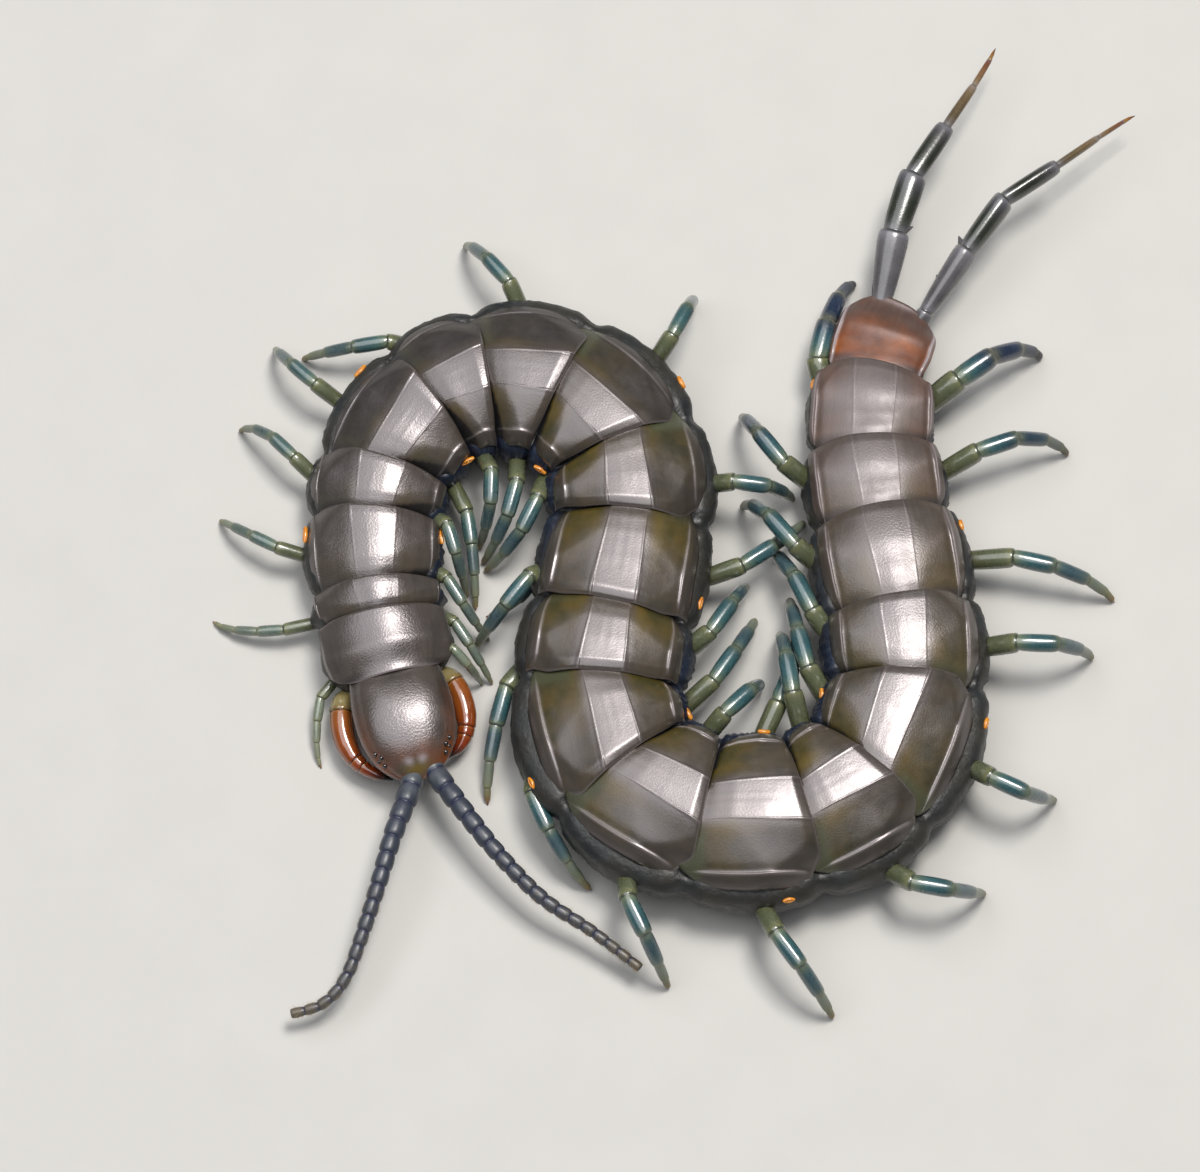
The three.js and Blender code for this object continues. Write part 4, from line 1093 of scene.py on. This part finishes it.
def buildLeg(segment, sideName):
    swing, reach, bow = walkingLeg[sideName][segment]
    distance = plateEdges[segment] + walkingLeg["rootAlong"] * pose["plateLengths"][segment]
    centre, tailward, left = spineFrame(distance)
    halfWidth = halfWidthAt(distance)
    outward, forward = left * sides[sideName], -tailward
    root = centre + outward * halfWidth * walkingLeg["rootSide"]
    root[2] = pose["bellyHeight"] + walkingLeg["rootHeight"] * halfWidth * pose["heightPerHalfWidth"]
    angle = math.radians(swing)
    claw = root + (outward * math.cos(angle) + forward * math.sin(angle)) * reach
    claw[2] = -walkingLeg["clawSink"]
    grow = math.exp(-segment / walkingLeg["growth"])
    length = walkingLeg["rearLength"] - (walkingLeg["rearLength"] - walkingLeg["frontLength"]) * grow
    sideways = (-outward * math.sin(angle) + forward * math.cos(angle)) * bow * 4 / 3
    arch = legArch(root, claw, sideways, length)
    size = length / walkingLeg["fullSize"]
    if segment + 1 == walkingLeg["stout"]:
        size = size * walkingLeg["stoutness"]
    joints = alongLine(arch, walkingLeg["ends"])
    joints[0] = root - outward * walkingLeg["rootDepth"]
    articles = [(near * size, far * size) for near, far in walkingLeg["radii"]]
    for k, (_, far) in enumerate(articles):
        # no article dips into the ground
        joints[k + 1, 2] = max(joints[k + 1, 2], far + walkingLeg["clearance"])
    points, faces, marks = jointedLimb(joints, articles, articleShape, walkingLeg["ringSides"])
    paleness, fading = walkingLeg["young"]
    blueness = walkingLeg["indigo"].get(segment + 1, 0.0)
    marks["young"] = paleness * math.exp(-segment / fading) * smooth(0.1, 0.3, marks["along"])
    marks["indigo"] = blueness * smooth(0.25, 0.4, marks["along"])
    number = f"{segment + 1:02d}"
    makePiece("leg" + number + sideName.capitalize(), points, faces, materials["leg"],
              [f"leg_{number}_{sideName}"], marks)
    horn = alongLine(arch, walkingLeg["claw"])
    beforeEnd, atEnd = walkingLeg["clawHeights"]
    horn[-2, 2], horn[-1, 2] = max(horn[-2, 2], beforeEnd), atEnd
    radii = [radius * size for radius in walkingLeg["clawRadii"]] + [walkingLeg["clawPoint"]]
    grid, faces, marks = hook(horn, radii)
    grid[..., 2] = np.maximum(grid[..., 2], 0)  # the tip stands on a small flat
    return grid, faces, marks


for sideName in sides:
    claws = [buildLeg(segment, sideName) for segment in range(segmentCount - 1)]
    points, faces, marks = joinParts(claws)
    makePiece("claws" + sideName.capitalize(), points, faces, materials["claw"], (), marks)
print("walking legs done")


# the last pair of legs

rearLeg = {
    "left": [
        (15.9, 14.1, 1.5), (16.6, 15.2, 2.05), (18.7, 18.2, 3), (20.6, 20.8, 3.4), (23.3, 22.7, 3.3),
        (25.5, 24.5, 2.8), (26.9, 25.6, 2.4), (27.5, 26, 2.2),
    ],
    "right": [
        (14.1, 14.4, 1.5), (14.3, 15.7, 2.05), (15, 19.2, 3), (16, 22.2, 3.4), (17.7, 24.9, 3.3),
        (19.2, 27.4, 2.8), (20.1, 29.1, 2.4), (20.4, 29.8, 2.2),
    ],
    "radii": [(0.5, 0.58), (0.58, 0.82), (0.7, 0.73), (0.56, 0.5), (0.28, 0.22), (0.18, 0.13)],
    "flatness": {"left": (0.78, 1), "right": (1, 0.78)}, "ringSides": 28, "bendRoom": 0.1,
    "spines": [(1, 0.38, 0.3), (1, 0.95, 0.5)],  # article, place along it, length
    "spineLean": 0.7, "spineRadii": [0.3, 0.24, 0.03], "spineSides": 12, "spineColour": 0.2,
    "clawDepth": 0.06, "clawArch": 0.04, "clawRadii": [0.12, 0.09, 0.015],
}


def buildRearLeg(sideName):
    places = np.array(rearLeg[sideName], float)
    flatness = rearLeg["flatness"][sideName]
    parts = [jointedLimb(places[:7], rearLeg["radii"], articleShape, rearLeg["ringSides"], flatness,
                         bendRoom=rearLeg["bendRoom"])]
    for article, along, length in rearLeg["spines"]:
        base = places[article] + (places[article + 1] - places[article]) * along
        direction = unit(places[article + 1] - places[article])
        inward = unit(np.cross(upward * sides[sideName], direction))
        lean = unit(inward + direction * rearLeg["spineLean"])
        radius = rearLeg["radii"][article][0] * flatness[0]
        tip = base + lean * (radius + length)
        guides = [base, base * 0.6 + tip * 0.4, tip]
        grid, faces, marks = hook(guides, rearLeg["spineRadii"], rearLeg["spineSides"])
        marks["along"] = np.full_like(marks["along"], rearLeg["spineColour"])
        parts.append((grid, faces, marks))
    points, faces, marks = joinParts(parts)
    makePiece("rearLeg" + sideName.capitalize(), points, faces, materials["rearLeg"],
              ["leg_21_" + sideName], marks)
    back = places[6] + (places[5] - places[6]) * rearLeg["clawDepth"]
    middle = (places[6] + places[7]) / 2 + upward * rearLeg["clawArch"]
    grid, faces, marks = hook([back, middle, places[7]], rearLeg["clawRadii"])
    makePiece("rearClaw" + sideName.capitalize(), grid, faces, materials["claw"], (), marks)


for sideName in sides:
    buildRearLeg(sideName)
print("rear legs done")


# head

head = {
    # places ahead of the first back plate: half width, top and bottom
    "shape": [
        (-0.5, 2.2, 3.45, 2.0), (0.15, 2.3, 3.68, 1.95), (0.7, 2.42, 3.93, 1.9), (1.8, 2.52, 4.12, 1.88),
        (3, 2.46, 4.03, 1.88), (4, 2.18, 3.78, 1.9), (4.7, 1.75, 3.42, 1.95), (5.2, 1.2, 3.05, 2.05),
        (5.45, 0.75, 2.8, 2.2), (5.55, 0.3, 2.6, 2.35),
    ],
    "section": [
        (0, 1), (0.25, 0.992), (0.5, 0.95), (0.75, 0.84), (0.93, 0.65), (1, 0.5), (0.97, 0.4), (0.85, 0.2),
        (0.5, 0.03), (0, 0),
    ],
    "rings": 60, "columns": 40, "grain": 1.15,
    # depth or height, place and width
    "marginGroove": (0.05, 0.86, 0.05), "dimple": (0.12, 0, 0.3), "sideRim": (0.05, 0.5, 0.06),
    "dentSize": 1.4, "dentDepth": 0.03, "patchSize": 1.1,
}
ocelli = {
    # ahead of the first back plate in mm, share of the half width, share of the height
    "places": [(3.95, 0.95, 0.68), (4.25, 0.9, 0.8), (4.3, 0.98, 0.6), (4.6, 0.95, 0.72)],
    "radius": 0.125, "sunk": 0.905,
}
frontCentre, frontTailward, frontLeft = spineFrame(0.0)


def frontPoint(ahead, wide, tall):
    # a place ahead of the trunk, in mm forward, to the left and up
    ahead, wide, tall = (values[..., None] for values in np.broadcast_arrays(ahead, wide, tall))
    return frontCentre - frontTailward * ahead + frontLeft * wide + upward * tall


def frontBlock(block):
    # rings over a block ahead of the trunk: mm ahead, shares across and up, mm to the left and up
    line = alongLine(roundedLine(block["shape"], 3), np.linspace(0, 1, block["rings"]))
    ring = closedRing(alongLine(roundedLine(block["section"], 3), np.linspace(0, 1, block["columns"])))
    ahead, halfWidth, top, bottom = (line[:, k][:, None] for k in range(4))
    across, up = ring[None, :, 0], ring[None, :, 1]
    return ahead, across, up, across * halfWidth, bottom + up * (top - bottom)


def buildHead():
    ahead, across, up, wide, tall = frontBlock(head)
    onTop = smooth(0.5, 0.62, up)
    # a groove inside the margin, a dimple between the antennae and a low rim along the sides
    depth, place, width = head["marginGroove"]
    tall = tall - depth * bump(np.abs(across), place, width) * onTop
    depth, place, width = head["dimple"]
    tall = tall - depth * bump(across, place, width) * smooth(4.6, 5.4, ahead) * onTop
    height, place, width = head["sideRim"]
    wide = wide + np.sign(wide) * height * bump(up, place, width)
    dents = noiseAt(frontPoint(ahead, wide, tall), head["dentSize"], 9)
    points = frontPoint(ahead, wide, tall + head["dentDepth"] * dents * onTop)
    patch = noiseAt(points, head["patchSize"], 12)
    rust = smooth(0.62, 0.98, np.abs(across)) * (0.4 + 0.3 * patch) * smooth(0.3, 3.2, ahead)
    rust = rust + smooth(3.3, 5.2, ahead) * (0.42 + 0.4 * patch) + smooth(0.45, 0.2, up) * 0.25
    # painted shade along the margin where the top turns down to the sides
    paintedShade = 0.6 * bump(np.abs(across), 0.93, 0.1) * smooth(0.45, 0.6, up) * (0.6 - 0.4 * patch)
    # a pale patch between the antennae, and a pale line along the low side rim
    paleTintAndPaintedHighlight = 0.8 * bump(ahead, 4.75, 0.18) * bump(np.abs(across), 0.2, 0.14) * onTop
    paleTintAndPaintedHighlight = paleTintAndPaintedHighlight + 0.25 * bump(up, 0.52, 0.05)
    amber = bump(ahead, 5.1, 0.3) * bump(across, 0, 0.5) * onTop
    even = np.ones(patch.shape)
    marks = {
        "olive": 0.1 * even, "streak": 0.5 + 0.5 * patch, "rust": np.clip(rust - amber, 0, 1),
        "amber": np.clip(amber, 0, 1), "paleTintAndPaintedHighlight": np.clip(paleTintAndPaintedHighlight, 0, 1), "paintedShade": np.clip(paintedShade, 0, 1),
        "grain": head["grain"] * even,
    }
    makePiece("headShell", points, tubeFaces(*patch.shape), materials["shell"], ["head"], marks)


def buildOcelli():
    shape = np.array(head["shape"])
    parts = []
    for ahead, share, up in ocelli["places"]:
        halfWidth, top, bottom = (np.interp(ahead, shape[:, 0], shape[:, k]) for k in (1, 2, 3))
        for side in (-1, 1):
            wide = side * halfWidth * share * ocelli["sunk"]
            middle = frontPoint(ahead, wide, bottom + (top - bottom) * up)
            ball = bmesh.new()
            bmesh.ops.create_icosphere(ball, subdivisions=3, radius=ocelli["radius"])
            points = np.array([v.co[:] for v in ball.verts]) + middle
            parts.append((points, [tuple(v.index for v in f.verts) for f in ball.faces], {}))
            ball.free()
    points, faces, _ = joinParts(parts)
    makePiece("ocelli", points, faces, materials["eye"])


buildHead()
buildOcelli()
print("head done")


# the plate under the head, with the forcipules

coxosternite = {
    "shape": [
        (0.1, 2.2, 1.6, 0.62), (0.3, 2.35, 1.6, 0.58), (1.2, 2.3, 1.58, 0.53), (2.6, 1.85, 1.52, 0.58),
        (3.3, 1.35, 1.45, 0.75), (3.6, 0.8, 1.38, 0.92), (3.72, 0.35, 1.25, 1.05),
    ],
    "section": [(0, 1), (0.5, 1), (0.85, 0.9), (1, 0.55), (0.9, 0.2), (0.55, 0.03), (0.06, 0.02), (0, 0.1)],
    "rings": 40, "columns": 30, "colour": 0.4, "seamWidth": 0.03,
    # mm of each tooth from the middle; those nearer to it stand further ahead
    "teeth": [0.22, 0.42, 0.6, 0.78], "toothAhead": (3.45, 0.5), "toothHeight": 1.05, "toothLength": 0.42,
    "toothRadii": [0.16, 0.13, 0.04], "toothSides": 8, "toothColour": (0.7, 0.3),
}
forcipule = {
    "left": [
        (-8.9, -4.4, 1.1), (-7.6, -4.3, 1.25), (-7, -5.2, 1.35), (-6.7, -6.3, 1.35), (-6.75, -7.3, 1.3),
        (-7.1, -8, 1.2), (-7.7, -8.5, 1.15),
    ],
    "right": [
        (-11.6, -5.2, 1.1), (-12.75, -5.5, 1.25), (-12.9, -6.6, 1.35), (-12.6, -7.9, 1.35),
        (-12, -8.8, 1.3), (-11, -9.4, 1.2), (-10.3, -9.6, 1.15),
    ],
    "radii": [0.55, 0.6, 0.62, 0.57, 0.43, 0.28, 0.05],
    "joints": [0.29, 0.68, 0.75], "seamWidth": 0.005, "seamDepth": 0.07,
    # offset from a joint and width, as shares of the length, and height or strength
    "swelling": (-0.02, 0.015, 0.04), "jointPaint": (0.012, 0.007, 0.5), "seamPaint": 0.9,
    "rings": 70, "ringSides": 28, "flatness": (0.96, 1.05),
}


def buildCoxosternite():
    ahead, across, _, wide, tall = frontBlock(coxosternite)
    points = frontPoint(ahead, wide, tall)
    even = np.ones(tall.shape)
    marks = {"along": coxosternite["colour"] * even, "joint": 0 * even,
             "seam": bump(across, 0, coxosternite["seamWidth"]) * even}
    parts = [(points, tubeFaces(*tall.shape), marks)]
    reach, setBack = coxosternite["toothAhead"]
    lowest, growth = coxosternite["toothColour"]
    for place in coxosternite["teeth"]:
        for side in (-1, 1):
            base = frontPoint(reach - place * setBack, side * place, coxosternite["toothHeight"])
            tip = base - frontTailward * coxosternite["toothLength"]
            grid, faces, marks = hook([base, (base + tip) / 2, tip], coxosternite["toothRadii"],
                                      coxosternite["toothSides"])
            marks["along"] = marks["along"] * growth + lowest
            parts.append((grid, faces, marks))
    points, faces, marks = joinParts(parts)
    makePiece("forcipulePlate", points, faces, materials["fang"], ["coxosternite"], marks)


def buildForcipule(sideName):
    joints = forcipule["joints"]
    nearJoints = [place + np.linspace(-0.02, 0.02, 7) for place in joints]
    shares = np.unique(np.concatenate([np.linspace(0, 1, forcipule["rings"]), *nearJoints]))
    centres = alongLine(smoothPath(forcipule[sideName]), shares)
    guideSteps = measured(np.array(forcipule[sideName]))
    seam = sum(bump(shares, place, forcipule["seamWidth"]) for place in joints)
    offset, width, rise = forcipule["swelling"]
    swelling = rise * sum(bump(shares, place + offset, width) for place in joints)
    offset, width, strength = forcipule["jointPaint"]
    joint = strength * sum(bump(shares, place + offset, width) for place in joints)
    size = np.interp(shares, guideSteps / guideSteps[-1], forcipule["radii"])
    size = size * (1 - forcipule["seamDepth"] * seam + swelling)
    ringSides = forcipule["ringSides"]
    axes = unit(np.gradient(centres, axis=0))
    points, faces = sweep(centres, axes, size, ringSides, forcipule["flatness"])
    rings = {"along": shares, "joint": joint, "seam": seam * forcipule["seamPaint"]}
    marks = {key: np.repeat(values, ringSides) for key, values in rings.items()}
    makePiece("forcipule" + sideName.capitalize(), points, faces, materials["fang"],
              ["forcipule_" + sideName], marks)


buildCoxosternite()
for sideName in sides:
    buildForcipule(sideName)
print("forcipules done")


# antennae

antenna = {
    "left": {
        "guides": [
            (-8.7, -8.6, 2.2), (-8.15, -9.7, 2.55), (-6.8, -11.7, 2.9), (-5.1, -13.9, 2.8),
            (-2.8, -16.2, 2.4), (-0.4, -17.7, 1.9), (2, -19.5, 1.5),
        ],
        "articles": 19, "seed": 11,
    },
    "right": {
        "guides": [
            (-9.2, -9.2, 2.2), (-9.4, -10.5, 2.55), (-10.15, -12.8, 2.9), (-11, -15.8, 2.7),
            (-11.8, -18.3, 2.3), (-12.6, -20.3, 1.9), (-13.7, -21.4, 1.6), (-15.2, -21.8, 1.4),
        ],
        "articles": 18, "seed": 12,
    },
    "neck": 0.75, "baseRadius": 0.66, "tipRadius": 0.25, "taper": 0.75, "crowding": 0.85, "ringSides": 20,
    "tip": 0.35, "bendRoom": 0.3,
    "hairFrom": 0.42, "hairsPerArticle": 90, "hairLength": 0.2, "hairRadius": 0.008,
}


def antennaRadius(share):
    base, tip = antenna["baseRadius"], antenna["tipRadius"]
    return base + (tip - base) * share ** antenna["taper"]


def buildAntenna(sideName):
    data = antenna[sideName]
    ends = (np.arange(data["articles"] + 1) / data["articles"]) ** antenna["crowding"]
    joints = alongLine(smoothPath(data["guides"]), ends)
    articles = [(antennaRadius(a), antennaRadius(b)) for a, b in zip(ends[:-1], ends[1:])]
    articles[0] = (articles[0][0] * antenna["neck"], articles[0][1])
    points, faces, marks = jointedLimb(joints, articles, beadShape, antenna["ringSides"],
                                       tip=antenna["tip"], bendRoom=antenna["bendRoom"])
    makePiece("antenna" + sideName.capitalize(), points, faces, materials["antenna"],
              ["antenna_" + sideName], marks)
    buildHairs(sideName, joints, ends)


def buildHairs(sideName, joints, ends):
    # short stiff hairs on the outer half, as thin three-sided spikes
    spikeFaces = ((0, 1, 3), (1, 2, 3), (2, 0, 3), (2, 1, 0))
    draw = random.Random(antenna[sideName]["seed"])
    points, faces = [], []
    for k, end in enumerate(ends[:-1]):
        if end < antenna["hairFrom"]:
            continue
        direction = unit(joints[k + 1] - joints[k])
        across = unit(np.cross(upward, direction))
        over = np.cross(direction, across)
        for _ in range(antenna["hairsPerArticle"]):
            place = draw.uniform(0.1, 0.95)
            angle = draw.uniform(0, 2 * math.pi)
            away = across * math.cos(angle) + over * math.sin(angle)
            radius = antennaRadius(end) * (0.8 + 0.15 * math.sin(math.pi * place))
            root = joints[k] + (joints[k + 1] - joints[k]) * place + away * radius * 0.9
            lean = away + direction * draw.uniform(0.5, 1.1)
            tip = root + lean * antenna["hairLength"] * draw.uniform(0.6, 1.1)
            turned = np.cross(direction, away)
            faces += [tuple(len(points) + corner for corner in face) for face in spikeFaces]
            for turn in (0, 2.1, 4.2):
                side = direction * math.cos(turn) + turned * math.sin(turn)
                points.append(root + antenna["hairRadius"] * side)
            points.append(tip)
    makePiece("antennaHair" + sideName.capitalize(), points, faces, materials["hair"])


for sideName in sides:
    buildAntenna(sideName)
print("antennae done")


# floor, light and camera

studio = {
    # in metres
    "floorSize": 1.6, "floorDrop": 0.00002,
    # the floor has patches of 4 mm that are this much lighter
    "floorShade": (0.44, 0.432, 0.415), "floorLighter": 1.03, "floorPatch": 4.0, "floorDetail": 6.0,
    "floorFinish": {"Roughness": 0.6, "Specular IOR Level": 0.25},
    "worldShade": (0.85, 0.92, 1.0), "worldStrength": 0.12,
    # name, place in metres, size, power, shade
    "lamps": [
        ("skyLamp", (-0.12, 0.05, 0.6), 0.7, 3.9, (0.97, 0.98, 1.0)),
        ("keyLamp", (0.12, 0.12, 0.63), 0.19, 3.8, (1.0, 0.96, 0.9)),
    ],
}
camera = {
    "lookAt": (-0.004, -0.0039, 0.003), "elevation": 70, "distance": 0.35, "lens": 210, "sensor": 36,
    "clip": (0.01, 10),
}


def placeObject(name, data, place=(0, 0, 0)):
    item = bpy.data.objects.new(name, data)
    item.location = place
    bpy.context.scene.collection.objects.link(item)
    return item


def buildFloor():
    mesh = bpy.data.meshes.new("floor")
    work = bmesh.new()
    bmesh.ops.create_grid(work, x_segments=8, y_segments=8, size=studio["floorSize"] / 2)
    work.to_mesh(mesh)
    work.free()
    material, tree, shader = newMaterial("paleFloor", studio["floorFinish"])
    shade = studio["floorShade"]
    stops = [(0.3, shade), (0.7, tuple(value * studio["floorLighter"] for value in shade))]
    patches = noiseValue(tree, studio["floorPatch"], studio["floorDetail"])
    tree.links.new(ramp(tree, patches, stops), shader.inputs["Base Color"])
    mesh.materials.append(material)
    floor = placeObject("floor", mesh, (0, 0, -studio["floorDrop"]))


def buildLight():
    world = bpy.data.worlds.new("studio")
    world.use_nodes = True
    background = world.node_tree.nodes["Background"]
    background.inputs["Color"].default_value = colour(studio["worldShade"])
    background.inputs["Strength"].default_value = studio["worldStrength"]
    bpy.context.scene.world = world
    for name, place, size, power, shade in studio["lamps"]:
        lamp = bpy.data.lights.new(name, "AREA")
        lamp.size, lamp.energy, lamp.color = size, power, shade
        holder = placeObject(name, lamp, place)
        holder.rotation_euler = (-Vector(place)).to_track_quat("-Z", "Y").to_euler()


def buildCamera():
    lens = bpy.data.cameras.new("camera")
    lens.lens, lens.sensor_width = camera["lens"], camera["sensor"]
    lens.clip_start, lens.clip_end = camera["clip"]
    tilt = math.radians(camera["elevation"])
    back = Vector((0, -math.cos(tilt), math.sin(tilt)))
    holder = placeObject("camera", lens, Vector(camera["lookAt"]) + back * camera["distance"])
    holder.rotation_euler = (-back).to_track_quat("-Z", "Y").to_euler()
    bpy.context.scene.camera = holder


buildFloor()
buildLight()
buildCamera()
bpy.context.scene.view_settings.view_transform = "Standard"
print("studio ready")
